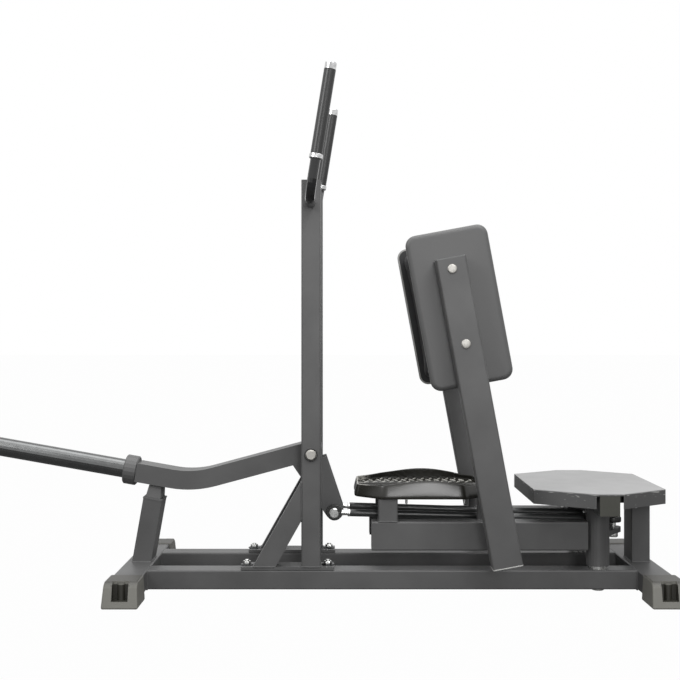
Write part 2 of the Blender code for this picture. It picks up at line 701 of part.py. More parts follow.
def addLeverBolt():
    across = Matrix.Translation(leverPivot) @ lyingAlongY
    addBolt("lever_axle", LEVER_BOLT_RADIUS, LEVER_BOLT_HEAD, LEVER_BOLT_HEAD_LENGTH, LEVER_WASHER_RADIUS,
            LEVER_WASHER_THICKNESS, railOuter + FIT, None, BRIGHT_STEEL, across)


def linkPlateOutline():
    """From the lever's underside down to a round nose about the link pin."""
    def underside(x):
        below = LEVER_HEIGHT / 2 + FIT
        return LEVER_PIVOT_Z + (x - UPRIGHT_X) * math.tan(rearSlope) - below / math.cos(rearSlope)

    front, rear = UPRIGHT_X - LINK_PLATE_FRONT, UPRIGHT_X + LINK_PLATE_REAR
    pin = (linkPin.x, linkPin.z)
    lower = tangentAngle((front, underside(front)), pin, LINK_PLATE_NOSE, -1)
    upper = tangentAngle((rear, underside(rear)), pin, LINK_PLATE_NOSE, 1)
    nose = arc(pin, LINK_PLATE_NOSE, lower, upper + 360, 8)
    return [(rear, underside(rear)), (front, underside(front))] + nose


def tangentAngle(point, centre, radius, turn):
    """Angle round the centre at which a line from the point touches the circle."""
    dx, dy = point[0] - centre[0], point[1] - centre[1]
    spread = math.degrees(math.acos(radius / math.hypot(dx, dy)))
    return math.degrees(math.atan2(dy, dx)) - turn * spread


def addLink(axis):
    """Two plates welded under the lever, and the pin that holds the push rods' balls."""
    outer = LEVER_WIDTH / 2
    for side, sign in sides.items():
        mesh = slabMesh(side + "_link_plate", [linkPlateOutline()], LINK_PLATE_THICKNESS)
        y = sign * (outer - LINK_PLATE_THICKNESS / 2)
        plate = addPart(side + "_link_plate", mesh, CHARCOAL_PAINT, at(0, y, 0) @ sideView, axis)
        hole = at(linkPin.x, y, linkPin.z) @ lyingAlongY
        drill(plate, "pin_hole", LINK_PIN_RADIUS + FIT, 4 * LINK_PLATE_THICKNESS, hole)
    spacer = (LINK_SPACER_RADIUS, outer + FIT, outer + FIT + LINK_SPACER_LENGTH)
    addBolt("link_pin", LINK_PIN_RADIUS, LINK_PIN_HEAD, LINK_PIN_HEAD_LENGTH, LINK_PIN_HEAD, 0,
            linkPinReach, spacer, BRIGHT_STEEL,
            Matrix.Translation(linkPin) @ lyingAlongY, axis)


def crankBall(sign):
    return Vector((pivotX + CRANK_BACK, sign * (railY - CRANK_IN), crankBallZ))


def addPushRod(side, sign):
    """Rod with a ball eye at each end; the front ball is a ring on the link pin."""
    front = Vector((linkPin.x, sign * ballY, linkPin.z))
    along = crankBall(sign) - front
    axis = addAxis(side + "_rod_axis", front)
    half = BALL_WIDTH / 2
    bore = LINK_PIN_RADIUS + RUNNING
    ball = [(bore, half)]
    for step in range(9):
        z = half - 2 * half * step / 8
        ball.append((math.sqrt(BALL_RADIUS ** 2 - z * z), z))
    ball.append((bore, -half))
    seat = Matrix.Translation(front) @ lyingAlongY
    part = addTurned(side + "_rod_ball", ball, BRIGHT_STEEL, seat, ring=True)
    hangFrom(part, axis)
    yaw = Matrix.Rotation(math.atan2(along.y, along.x), 4, "Z")
    pitch = Matrix.Rotation(math.atan2(-along.z, math.hypot(along.x, along.y)), 4, "Y")
    frame = Matrix.Translation(front) @ yaw @ pitch
    length = along.length
    tubeStart = ROD_EYE_REACH + ROD_STUD_LENGTH
    shaft = [(ROD_STUD_RADIUS, length - ROD_EYE_REACH + 0.004), (ROD_STUD_RADIUS, length - tubeStart),
             (ROD_RADIUS, length - tubeStart), (ROD_RADIUS, tubeStart), (ROD_STUD_RADIUS, tubeStart),
             (ROD_STUD_RADIUS, ROD_EYE_REACH - 0.004)]
    shaft = [(0, shaft[0][1])] + shaft + [(0, shaft[-1][1])]
    rod = addTurned(side + "_push_rod", shaft, BLACK_PLASTIC, frame @ lyingAlongX)
    hangFrom(rod, axis)
    frontEye = rodMesh("eye", ROD_EYE_RADIUS, ROD_EYE_WIDTH)
    combine(rod, side + "_front_eye", frontEye, frame @ lyingAlongY, "UNION")
    rearEye = rodMesh("eye", ROD_EYE_RADIUS, ROD_EYE_WIDTH)
    rear = frame @ at(length, 0, 0)
    combine(rod, side + "_rear_eye", rearEye, rear, "UNION")
    drill(rod, "front_bore", BALL_RADIUS + RUNNING, 3 * ROD_EYE_WIDTH, frame @ lyingAlongY)
    drill(rod, "rear_bore", CRANK_BALL_RADIUS + BALL_PLAY, 3 * ROD_EYE_WIDTH, rear)


def addPivotAxles():
    """Shouldered axles from under the rails up into the step's cross tube."""
    washer = railTop + FIT
    top = crossTop - TUBE_WALL - PIVOT_TOP_MARGIN
    head = FOOT_SOLE - FIT
    profile = [(0, top), (PIVOT_RADIUS - 0.001, top), (PIVOT_RADIUS, top - 0.001),
               (PIVOT_RADIUS, washer + PIVOT_WASHER_THICKNESS),
               (PIVOT_WASHER_RADIUS, washer + PIVOT_WASHER_THICKNESS), (PIVOT_WASHER_RADIUS, washer),
               (PIVOT_RADIUS, washer), (PIVOT_RADIUS, head), (PIVOT_HEAD_RADIUS, head),
               (PIVOT_HEAD_RADIUS, head - PIVOT_HEAD_LENGTH / 2),
               (PIVOT_HEAD_RADIUS - 0.003, head - PIVOT_HEAD_LENGTH), (0, head - PIVOT_HEAD_LENGTH)]
    for side, sign in sides.items():
        addTurned(side + "_pivot_axle", profile, BRIGHT_STEEL, at(pivotX, sign * railY, 0))


def addPivotSleeve(side, sign, axis):
    """Sleeve with two bushes, the crank that drives the push rod, and its ball stud."""
    low, high = sleeveLow, sleeveLow + PIVOT_SLEEVE_LENGTH
    bore = PIVOT_RADIUS + RUNNING
    hollow = PIVOT_SLEEVE_RADIUS - PIVOT_SLEEVE_WALL
    profile = [(bore, high), (PIVOT_SLEEVE_RADIUS, high), (PIVOT_SLEEVE_RADIUS, low), (bore, low),
               (bore, low + PIVOT_BUSH_LENGTH), (hollow, low + PIVOT_BUSH_LENGTH),
               (hollow, high - PIVOT_BUSH_LENGTH), (bore, high - PIVOT_BUSH_LENGTH)]
    pivot = at(pivotX, sign * railY, 0)
    sleeve = addTurned(side + "_pivot_sleeve", profile, CHARCOAL_PAINT, pivot, ring=True)
    hangFrom(sleeve, axis)
    reach = math.hypot(CRANK_BACK, CRANK_IN)
    heading = math.atan2(-sign * CRANK_IN, CRANK_BACK)
    root = PIVOT_SLEEVE_RADIUS - PIVOT_SLEEVE_WALL / 2
    web = root * 0.8
    outline = [(root * 0.6, -web), (reach, -CRANK_END_RADIUS)]
    outline += arc((reach, 0), CRANK_END_RADIUS, -90, 90, 10)[1:-1]
    outline += [(reach, CRANK_END_RADIUS), (root * 0.6, web)]
    crankZ = crankUnder + CRANK_THICKNESS / 2
    place = pivot @ Matrix.Rotation(heading, 4, "Z") @ at(0, 0, crankZ)
    combine(sleeve, side + "_crank", slabMesh("crank", [outline], CRANK_THICKNESS), place, "UNION")
    ball = [(0, CRANK_BALL_RADIUS)]
    for step in range(1, 7):
        angle = math.radians(90 - 22 * step)
        ball.append((CRANK_BALL_RADIUS * math.cos(angle), CRANK_BALL_RADIUS * math.sin(angle)))
    foot = crankUnder - crankBallZ
    stud = ball + [(CRANK_STUD_RADIUS, -CRANK_BALL_RADIUS), (CRANK_STUD_RADIUS, foot),
                   (CRANK_NUT_RADIUS, foot), (CRANK_NUT_RADIUS, foot - CRANK_NUT_LENGTH),
                   (0, foot - CRANK_NUT_LENGTH)]
    addTurnedTool(sleeve, side + "_ball_stud", stud, Matrix.Translation(crankBall(sign)))


def addTurnedTool(part, name, profile, place):
    """Joins a turned shape to the part; the shape itself is a hidden tool."""
    mesh = bpy.data.meshes.new(name)
    points = [(radius, 0, height) for radius, height in profile]
    mesh.from_pydata(points, [(i, i + 1) for i in range(len(points) - 1)], [])
    tool = combine(part, name, mesh, place, "UNION")
    turn = tool.modifiers.new("turn", "SCREW")
    turn.steps = ROUND_STEPS
    turn.render_steps = ROUND_STEPS
    turn.use_merge_vertices = True
    turn.merge_threshold = 0.00001


def addSwingArm(side, sign, axis):
    """Box arm ahead of the pivot, its stub for the pad post and the pedal's two short posts."""
    place = at((armFront + armRear) / 2, sign * railY, armUnder + ARM_HEIGHT / 2)
    size = (ARM_HEIGHT, ARM_WIDTH, ARM_LENGTH)
    place = place @ lyingAlongX @ leaning(180)
    arm = addTube(side + "_swing_arm", size, CHARCOAL_PAINT, place, True, axis)
    bore = PAD_STUB_SIZE - 2 * TUBE_WALL
    outlines = [roundedRectangle(PAD_STUB_SIZE, PAD_STUB_SIZE, TUBE_CORNER, 3),
                roundedRectangle(bore, bore, TUBE_CORNER - TUBE_WALL, 3)]
    stub = slabMesh("stub", outlines, PAD_STAND_OFF + PAD_STUB_WELD)
    y = sign * (armOuter + (PAD_STAND_OFF - PAD_STUB_WELD) / 2)
    place = at(padPostX + PAD_STUB_BEHIND_POST, y, armUnder + ARM_HEIGHT / 2)
    combine(arm, side + "_swing_arm_stub", stub, place @ sideView, "UNION")
    posts = (("front", PEDAL_POST_SETBACK, PEDAL_POST_SIZE, ARM_WIDTH),
             ("rear", PEDAL_REAR_POST_SETBACK, PEDAL_REAR_POST_LENGTH, PEDAL_REAR_POST_WIDTH))
    for end, setback, length, width in posts:
        y = sign * (railY - (ARM_WIDTH - width) / 2)
        place = at(armFront + setback + length / 2, y, armTop + FIT + PEDAL_POST_HEIGHT / 2)
        size = (length, width, PEDAL_POST_HEIGHT)
        addTube(side + "_pedal_" + end + "_post", size, CHARCOAL_PAINT, place, True, axis)


def pedalOutline(sign):
    """Plan of the pedal: square inner corners, tapered outer ones, all rounded."""
    front = pedalFront
    rear = front + PEDAL_LENGTH
    outer = armOuter + PEDAL_OUTER_LIP
    points = [(front, PEDAL_INNER_Y), (rear, PEDAL_INNER_Y), (rear, outer - PEDAL_TAPER),
              (rear - PEDAL_TAPER, outer), (front + PEDAL_TAPER, outer), (front, outer - PEDAL_TAPER)]
    if sign < 0:
        points = [(x, -y) for x, y in reversed(points)]
    return roundedCorners(points, PEDAL_ROUND, 4)


def addPedal(side, sign, axis):
    """Foot tray with a low rim and a side wall that rises along its outer edge."""
    outline = pedalOutline(sign)
    tread = pedalUnder + PEDAL_FLOOR
    rim = tread + PEDAL_RIM
    crest = rim + PEDAL_HUMP
    mesh = slabMesh(side + "_pedal", [outline], crest - pedalUnder)
    pedal = addPart(side + "_pedal", mesh, BLACK_PLASTIC, at(0, 0, (crest + pedalUnder) / 2), axis)
    recess = slabMesh("recess", [inset(outline, PEDAL_WALL)], 2 * (crest - tread))
    combine(pedal, side + "_pedal_recess", recess, at(0, 0, crest))
    front = pedalFront
    above = [(front + PEDAL_LENGTH + 0.01, rim), (front + PEDAL_LENGTH + 0.01, crest + 0.02),
             (front - 0.01, crest + 0.02), (front - 0.01, rim)]
    for step in range(13):
        share = step / 12
        rise = PEDAL_HUMP * (0.5 - 0.5 * math.cos(2 * math.pi * share ** PEDAL_HUMP_SKEW)) ** 0.8
        above.append((front + PEDAL_TAPER / 2 + share * (PEDAL_LENGTH - PEDAL_TAPER), rim + rise - 0.00005))
    trim = slabMesh("trim", [above], 1)
    combine(pedal, side + "_pedal_trim", trim, sideView)
    lowSide = boxMesh("low", (2 * PEDAL_LENGTH, 2 * PEDAL_WALL + 2 * FIT, 0.1))
    place = at(front, sign * PEDAL_INNER_Y, tread + PEDAL_INNER_RIM + 0.05)
    combine(pedal, side + "_pedal_low_side", lowSide, place)


def padFrame(sign):
    """Top centre of the pad post, turned so that Z runs up along the post."""
    lean = math.radians(PAD_LEAN)
    mid = Vector((padPostX, 0, armUnder + ARM_HEIGHT / 2))
    up = Vector((-math.sin(lean), 0, math.cos(lean)))
    top = mid + up * (PAD_POST_LENGTH - PAD_POST_DROP)
    top.y = sign * (armOuter + PAD_STAND_OFF + FIT + PAD_POST_DEPTH / 2)
    return Matrix.Translation(top) @ leaning(-PAD_LEAN)


def addPadPost(side, sign, axis):
    frame = padFrame(sign)
    size = (PAD_POST_WIDTH, PAD_POST_DEPTH, PAD_POST_LENGTH)
    addTube(side + "_pad_post", size, CHARCOAL_PAINT, frame @ at(0, 0, -PAD_POST_LENGTH / 2), True, axis)


def padRing(shrink, pull, scale):
    """The pad's outline moved inwards, drawn in further between its corners, then scaled."""
    x, z = PAD_WIDTH / 2, PAD_HEIGHT / 2
    ring = roundedRectangle(PAD_WIDTH, PAD_HEIGHT, PAD_CORNER, 3)
    dense = []
    for i, here in enumerate(ring):
        after = ring[(i + 1) % len(ring)]
        dense.append(here)
        gap = math.dist(here, after)
        if gap > 4 * PAD_CORNER:
            pieces = 4 if gap > 2 * x else 2
            shares = [n / pieces for n in range(1, pieces)]
            dense += [tuple(here[k] + (after[k] - here[k]) * share for k in (0, 1)) for share in shares]
    outline = []
    for px, pz in dense:
        middle = max(math.cos(math.pi / 2 * px / x) * (abs(pz) > z - 0.001),
                     math.cos(math.pi / 2 * pz / z) * (abs(px) > x - 0.001))
        depth = shrink + pull * middle
        fx, fz = 1 - depth / x, 1 - depth / z
        outline.append((px * fx * scale, pz * fz * scale))
    return outline


def addPad(side, sign, axis):
    """Board against the post, and a crowned cushion whose sides are drawn in."""
    frame = padFrame(sign) @ at(PAD_OFFSET, -sign * PAD_POST_DEPTH / 2, -PAD_BELOW_TOP)
    outline = roundedRectangle(PAD_WIDTH, PAD_HEIGHT, PAD_CORNER, 5)
    board = slabMesh(side + "_pad_board", [outline], PAD_BOARD)
    place = frame @ at(0, -sign * (FIT + PAD_BOARD / 2), 0) @ sideView
    soften(addPart(side + "_pad_board", board, GREY_BOARD, place, axis), 0.003)
    rings = [(0.005, 0, 1, 0), (0.001, 0, 1, 0.08), (0, 1, 1, 0.4), (0.002, 1, 1, 0.72),
             (0.009, 0.6, 1, 0.92), (0.009, 0.4, 0.86, 1), (0.009, 0, 0.60, 1.06), (0.009, 0, 0.30, 1.09)]
    bm = bmesh.new()
    start = FIT + PAD_BOARD + FIT
    loops = []
    for shrink, pull, scale, depth in rings:
        y = -sign * (start + depth * PAD_FOAM / 1.09)
        ring = padRing(PAD_BOARD_MARGIN + shrink, PAD_PULL * pull, scale)
        loops.append([bm.verts.new((px, y, pz)) for px, pz in ring])
    for lower, upper in zip(loops, loops[1:]):
        for i in range(len(lower)):
            j = (i + 1) % len(lower)
            bm.faces.new((lower[i], lower[j], upper[j], upper[i]))
    bm.faces.new(loops[0])
    bm.faces.new(loops[-1])
    bmesh.ops.recalc_face_normals(bm, faces=bm.faces)
    mesh = meshFrom(bm, side + "_pad")
    mesh.shade_smooth()
    pad = addPart(side + "_pad", mesh, BLACK_VINYL, frame, axis)
    rounding = pad.modifiers.new("rounding", "SUBSURF")
    rounding.levels = 1
    rounding.render_levels = 1


def deckOutline():
    """Eight sided plan, longest across the pivots, counter-clockwise."""
    front, rear = pivotX - DECK_FRONT_REACH, pivotX + DECK_REAR_REACH
    near, far = pivotX - DECK_SIDE_LENGTH / 2, pivotX + DECK_SIDE_LENGTH / 2
    end, wide = DECK_END_WIDTH / 2, DECK_WIDTH / 2
    return [(front, end), (front, -end), (near, -wide), (far, -wide), (rear, -end), (rear, end),
            (far, wide), (near, wide)]


def addStep():
    """Deck tray open at both sides for the cross tube, its mat, the tube, its caps and the leg."""
    outline = deckOutline()
    under = deckTop - DECK_DEPTH
    plateTopZ = plateUnder + DECK_PLATE
    mesh = slabMesh("step_deck", [outline], plateTopZ - under)
    deck = addPart("step_deck", mesh, CHARCOAL_PAINT, at(0, 0, (plateTopZ + under) / 2))
    depth = plateUnder - under
    hollow = slabMesh("hollow", [inset(outline, DECK_PLATE)], 2 * depth)
    combine(deck, "step_hollow", hollow, at(0, 0, under))
    notch = boxMesh("notch", (DECK_SIDE_LENGTH - 2 * DECK_PLATE, 2 * DECK_WIDTH, 2 * depth))
    combine(deck, "step_notch", notch, at(pivotX, 0, under))
    mat = slabMesh("step_mat", [outline], DECK_MAT)
    addPart("step_mat", mat, PALE_MAT, at(0, 0, deckTop - DECK_MAT / 2))
    tubeZ = crossUnder + CROSS_TUBE_SIZE / 2
    size = (CROSS_TUBE_SIZE, CROSS_TUBE_SIZE, crossLength)
    tube = addTube("step_cross_tube", size, CHARCOAL_PAINT, at(pivotX, 0, tubeZ) @ lyingAlongY)
    for side, sign in sides.items():
        hole = at(pivotX, sign * railY, crossUnder)
        drill(tube, side + "_axle_hole", PIVOT_RADIUS + FIT, CROSS_TUBE_SIZE / 2, hole)
        flange = boxMesh(side + "_cross_tube_cap", (CROSS_TUBE_SIZE, CROSS_CAP_FLANGE, CROSS_TUBE_SIZE))
        y = sign * (crossLength / 2 + FIT + CROSS_CAP_FLANGE / 2)
        cap = addPart(side + "_cross_tube_cap", flange, OLIVE_PLASTIC, at(pivotX, y, tubeZ))
        inner = CROSS_TUBE_SIZE - 2 * TUBE_WALL - 2 * FIT
        plug = boxMesh("plug", (inner - TUBE_CORNER, CROSS_CAP_PLUG, inner - TUBE_CORNER))
        combine(cap, side + "_cap_plug", plug, at(pivotX, y - sign * CROSS_CAP_PLUG / 2, tubeZ), "UNION")
    legLength = plateUnder - beamTop - 2 * FIT
    place = at(rearBeamX, 0, beamTop + FIT + legLength / 2)
    addTube("step_leg", (LEG_DEPTH, LEG_WIDTH, legLength), CHARCOAL_PAINT, place)


addRails()
addCrossBeams()
for beam, beamX in (("front", frontBeamX), ("rear", rearBeamX)):
    for side, sign in sides.items():
        addFoot(beam + "_" + side + "_foot", beamX, sign)
addUprights()
addBraces()
addHandles()
addStopPost()
addLeverBolt()
leverAxis = addAxis("lever_axis", leverPivot)
addLever(leverAxis)
addLink(leverAxis)
addPivotAxles()
addStep()
for side, sign in sides.items():
    swingAxis = addAxis(side + "_swing_axis", (pivotX, sign * railY, 0))
    addPivotSleeve(side, sign, swingAxis)
    addSwingArm(side, sign, swingAxis)
    addPedal(side, sign, swingAxis)
    addPadPost(side, sign, swingAxis)
    addPad(side, sign, swingAxis)
    addPushRod(side, sign)
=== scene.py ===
import json
import math

import bmesh
import bpy
import numpy as np
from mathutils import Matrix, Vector
from mathutils.bvhtree import BVHTree


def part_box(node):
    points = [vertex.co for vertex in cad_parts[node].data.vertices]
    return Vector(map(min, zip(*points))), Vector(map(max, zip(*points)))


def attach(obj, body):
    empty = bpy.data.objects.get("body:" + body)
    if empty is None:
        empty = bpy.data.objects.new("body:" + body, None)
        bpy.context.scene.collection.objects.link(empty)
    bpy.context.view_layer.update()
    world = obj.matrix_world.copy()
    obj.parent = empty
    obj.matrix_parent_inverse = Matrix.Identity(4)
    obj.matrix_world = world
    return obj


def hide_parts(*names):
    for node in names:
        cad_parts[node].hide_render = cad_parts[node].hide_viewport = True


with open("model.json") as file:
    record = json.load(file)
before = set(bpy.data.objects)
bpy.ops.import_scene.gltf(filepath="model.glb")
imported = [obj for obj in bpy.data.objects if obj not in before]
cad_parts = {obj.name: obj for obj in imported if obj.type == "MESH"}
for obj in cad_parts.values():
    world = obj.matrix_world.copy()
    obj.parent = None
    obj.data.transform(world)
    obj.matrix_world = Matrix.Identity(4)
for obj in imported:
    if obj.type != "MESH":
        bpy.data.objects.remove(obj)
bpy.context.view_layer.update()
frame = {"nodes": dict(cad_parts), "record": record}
nodes = frame["nodes"]
sides = {"left": -1, "right": 1}  # the sign of Y on each side
print("loaded", len(nodes), "solids")


# Colour and node helpers

colourA, colourB, mixed = 6, 7, 2  # a Mix node's colour sockets A, B and Result by number, as names repeat


def hexColour(text):  # sRGB hex to the linear values that the shader takes
    channels = [int(text[i:i + 2], 16) / 255 for i in (1, 3, 5)]
    linear = [c / 12.92 if c <= 0.04045 else ((c + 0.055) / 1.055) ** 2.4 for c in channels]
    return (*linear, 1)


def addNode(tree, kind, inputs=None, **settings):  # one node with its settings, values and links
    made = tree.nodes.new("ShaderNode" + kind)
    for name, value in settings.items():
        setattr(made, name, value)
    for name, value in (inputs or {}).items():
        if isinstance(value, bpy.types.NodeSocket):
            tree.links.new(value, made.inputs[name])
        else:
            made.inputs[name].default_value = value
    return made


def newMaterial(name, **values):  # a Principled material; values set its sockets by name
    material = bpy.data.materials.new(name)
    material.use_nodes = True
    tree = material.node_tree
    shader = tree.nodes["Principled BSDF"]
    for socket, value in values.items():
        shader.inputs[socket.replace("_", " ")].default_value = value
    return material, tree, shader


# Surface helpers: every new piece is a grid of points worked out as whole arrays

meshing = {"merge": 0.000002, "sliver": 0.000001, "sharpFrom": math.radians(32)}


def surface(name, grids, closed=True, wear=None):
    # Quads over each grid; a closed one joins its last column to its first
    points, faces, offset = [], [], 0
    for grid in grids:
        rows, columns = grid.shape[:2]
        index = offset + np.arange(rows * columns).reshape(rows, columns)
        right = np.roll(index, -1, axis=1) if closed else index[:, 1:]
        left = index if closed else index[:, :-1]
        quads = np.stack([left[:-1], right[:-1], right[1:], left[1:]], axis=-1)
        faces.append(quads.reshape(-1, 4))
        points.append(grid.reshape(-1, 3))
        offset += rows * columns
    mesh = bpy.data.meshes.new(name)
    mesh.from_pydata(np.concatenate(points).tolist(), [], np.concatenate(faces).tolist())
    if wear is not None:
        values = np.ravel(wear).astype(np.float32)
        mesh.attributes.new("wear", "FLOAT", "POINT").data.foreach_set("value", values)
    cleaned = bmesh.new()
    cleaned.from_mesh(mesh)
    bmesh.ops.remove_doubles(cleaned, verts=cleaned.verts, dist=meshing["merge"])
    bmesh.ops.dissolve_degenerate(cleaned, edges=cleaned.edges, dist=meshing["sliver"])
    bmesh.ops.recalc_face_normals(cleaned, faces=cleaned.faces)
    cleaned.to_mesh(mesh)
    cleaned.free()
    mesh.shade_smooth()
    mesh.set_sharp_from_angle(angle=meshing["sharpFrom"])
    return mesh


def addPiece(name, mesh, material, body, replaced=()):
    piece = bpy.data.objects.new(name, mesh)
    bpy.context.scene.collection.objects.link(piece)
    mesh.materials.clear()
    mesh.materials.append(material)
    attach(piece, body)
    if replaced:
        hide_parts(*replaced)
    return piece


def turned(rings, steps=36):
    # Rings of (radius, height, hexagon share) about Z: radius r becomes r * cos30 / cos(a mod 60 - 30)
    angle = np.linspace(0, 2 * np.pi, steps, endpoint=False)
    hexagon = math.cos(np.pi / 6) / np.cos(angle % (np.pi / 3) - np.pi / 6)
    table = np.array(rings, float)
    radius = table[:, :1] * (1 - table[:, 2:] + table[:, 2:] * hexagon)
    height = np.broadcast_to(table[:, 1:2], radius.shape)
    return np.stack([radius * np.cos(angle), radius * np.sin(angle), height], axis=-1)


def turnedTo(grid, place, axis):  # points about Z carried to a place, with Z along the axis
    turn = np.array(Vector(axis).to_track_quat("Z", "Y").to_matrix())
    return grid @ turn.T + np.array(place)


def evenly(corners, spacing, loop=True):
    # Eight or more points at even spacing along the straight runs between the corners
    line = np.array(corners, float)
    if loop:
        line = np.vstack([line, line[:1]])
    run = np.concatenate([[0], np.cumsum(np.linalg.norm(np.diff(line, axis=0), axis=1))])
    count = max(8, round(run[-1] / spacing))
    spots = np.linspace(0, run[-1], count, endpoint=not loop)
    return np.stack([np.interp(spots, run, line[:, k]) for k in range(line.shape[1])], axis=1)


def roundedLoop(width, height, radius, spacing):  # four quarter circles of 12 points joined by straight runs
    turn = np.linspace(0, np.pi / 2, 12)
    arc = radius * np.stack([np.cos(turn), np.sin(turn)], axis=1)
    inner = np.array([width / 2 - radius, height / 2 - radius])
    quarters = [arc + inner, arc[::-1] * (-1, 1) + inner * (-1, 1),
                -arc - inner, arc[::-1] * (1, -1) + inner * (1, -1)]
    return evenly(np.concatenate(quarters), spacing)


def outward(loop):  # unit normals of a flat loop that runs anticlockwise
    along = np.roll(loop, -1, axis=0) - np.roll(loop, 1, axis=0)
    normal = np.stack([along[:, 1], -along[:, 0]], axis=1)
    return normal / np.linalg.norm(normal, axis=1, keepdims=True)


def pressed(loop, rings, origin, across, up, out):
    # Rows of a flat outline, closed at both ends: origin + (loop - inset * normal) in its plane + height * out
    flats = [(loop - inset * outward(loop), height) for inset, height in rings]
    across, up, out = np.array(across), np.array(up), np.array(out)
    rows = [np.array(origin) + flat[:, :1] * across + flat[:, 1:] * up + height * out
            for flat, height in flats]
    ends = [np.broadcast_to(row.mean(axis=0), row.shape) for row in (rows[0], rows[-1])]
    return np.array([ends[0]] + rows + [ends[1]])


def rope(path, radius, normal, steps=8, loop=True):
    # Tube: point = path + radius * (cos(a) * normal + sin(a) * (tangent x normal)), normal to the path's plane
    if loop:
        tangent = np.roll(path, -1, axis=0) - np.roll(path, 1, axis=0)
    else:
        tangent = np.gradient(path, axis=0)
    side = np.cross(tangent, normal)
    side /= np.linalg.norm(side, axis=1, keepdims=True)
    angle = np.linspace(0, 2 * np.pi, steps, endpoint=False)[None, :, None]
    reach = np.broadcast_to(radius, len(path))[:, None, None]
    grid = path[:, None] + reach * (np.cos(angle) * np.array(normal) + np.sin(angle) * side[:, None])
    return np.concatenate([grid, grid[:1]]) if loop else grid


# Finishes. Object coordinates are metres, the same on every piece because none is moved, so a pattern's scale
# is 1 / its size. Sizes are the real ones in metres, except that a moulding's grain, in truth about 0.1 mm, is
# drawn ten times as coarse so that it shows

relief = 0.0003  # metres that a bump's full height stands for


def closeFinish(tree, shader, colour, pattern, rough, height=None, strength=0.0):
    # Links the colour, a roughness between the two rough values along a 0 to 1 pattern, and any bump
    tree.links.new(colour.outputs[mixed], shader.inputs["Base Color"])
    spread = addNode(tree, "MapRange", {"Value": pattern, "To Min": rough[0], "To Max": rough[1]})
    tree.links.new(spread.outputs["Result"], shader.inputs["Roughness"])
    if height:
        bump = addNode(tree, "Bump", {"Height": height, "Strength": strength, "Distance": relief})
        tree.links.new(bump.outputs["Normal"], shader.inputs["Normal"])


def powderCoat(name, chipped=False):
    # Polyester powder coat, sprayed and baked: satin, with a faint orange peel; shoes chip the step's top edge
    coat = {"dark": "#515151", "light": "#5c5c5c", "drift": 0.14, "patches": (0.35, 0.65), "peel": 0.0016,
            "rough": (0.40, 0.52), "bump": 0.10}
    chip = {"steel": "#b4b4b2", "edge": (0.2575, 0.2680), "below": -0.16, "bare": (0.555, 0.60),
            "turn": 0.7, "stretch": (1, 1, 7), "scratch": 0.018182}
    material, tree, shader = newMaterial(name, IOR=1.5)
    place = addNode(tree, "TexCoord").outputs["Object"]
    drift = addNode(tree, "TexNoise", {"Vector": place, "Scale": 1 / coat["drift"], "Detail": 3.0})
    peel = addNode(tree, "TexNoise", {"Vector": place, "Scale": 1 / coat["peel"], "Detail": 1.0})
    patches = addNode(tree, "MapRange", {"Value": drift.outputs["Fac"], "From Min": coat["patches"][0],
                                         "From Max": coat["patches"][1]})
    colour = addNode(tree, "Mix", {"Factor": patches.outputs["Result"], colourA: hexColour(coat["dark"]),
                                   colourB: hexColour(coat["light"])}, data_type="RGBA")
    if chipped:
        # Bare where drawn out noise, less a share that grows downwards from the edge, is high
        drawn = addNode(tree, "Mapping", {"Vector": place, "Rotation": (0, chip["turn"], 0),
                                          "Scale": chip["stretch"]})
        marks = addNode(tree, "TexNoise", {"Vector": drawn.outputs["Vector"], "Scale": 1 / chip["scratch"],
                                           "Detail": 2.0})
        height = addNode(tree, "SeparateXYZ", {"Vector": place})
        near = addNode(tree, "MapRange", {"Value": height.outputs["Z"], "From Min": chip["edge"][0],
                                          "From Max": chip["edge"][1], "To Min": chip["below"], "To Max": 0.0})
        score = addNode(tree, "Math", {0: marks.outputs["Fac"], 1: near.outputs["Result"]}, operation="ADD")
        bare = addNode(tree, "MapRange", {"Value": score.outputs[0], "From Min": chip["bare"][0],
                                          "From Max": chip["bare"][1]})
        colour = addNode(tree, "Mix", {"Factor": bare.outputs["Result"], colourA: colour.outputs[mixed],
                                       colourB: hexColour(chip["steel"])}, data_type="RGBA")
    closeFinish(tree, shader, colour, peel.outputs["Fac"], coat["rough"], peel.outputs["Fac"], coat["bump"])
    return material


def metal(name, dark, light, patch, rough):
    # Bare or plated metal: cloudy colour and gloss, with patches of the given size in metres
    material, tree, shader = newMaterial(name, Metallic=1.0)
    place = addNode(tree, "TexCoord").outputs["Object"]
    cloud = addNode(tree, "TexNoise", {"Vector": place, "Scale": 1 / patch, "Detail": 3.0})
    colour = addNode(tree, "Mix", {"Factor": cloud.outputs["Fac"], colourA: hexColour(dark),
                                   colourB: hexColour(light)}, data_type="RGBA")
    closeFinish(tree, shader, colour, cloud.outputs["Fac"], rough)
    return material


flowSize = 0.055556  # patches that the melt leaves as it fills a mould


def moulded(name, dark, light, grain, bump, rough, ior=1.5):
    # Moulded plastic or rubber: slow flow patches, and a spark eroded grain of the given size in metres
    material, tree, shader = newMaterial(name, IOR=ior)
    place = addNode(tree, "TexCoord").outputs["Object"]
    flow = addNode(tree, "TexNoise", {"Vector": place, "Scale": 1 / flowSize, "Detail": 4.0})
    grains = addNode(tree, "TexNoise", {"Vector": place, "Scale": 1 / grain, "Detail": 2.0})
    colour = addNode(tree, "Mix", {"Factor": flow.outputs["Fac"], colourA: hexColour(dark),
                                   colourB: hexColour(light)}, data_type="RGBA")
    closeFinish(tree, shader, colour, grains.outputs["Fac"], rough, grains.outputs["Fac"], bump)
    return material


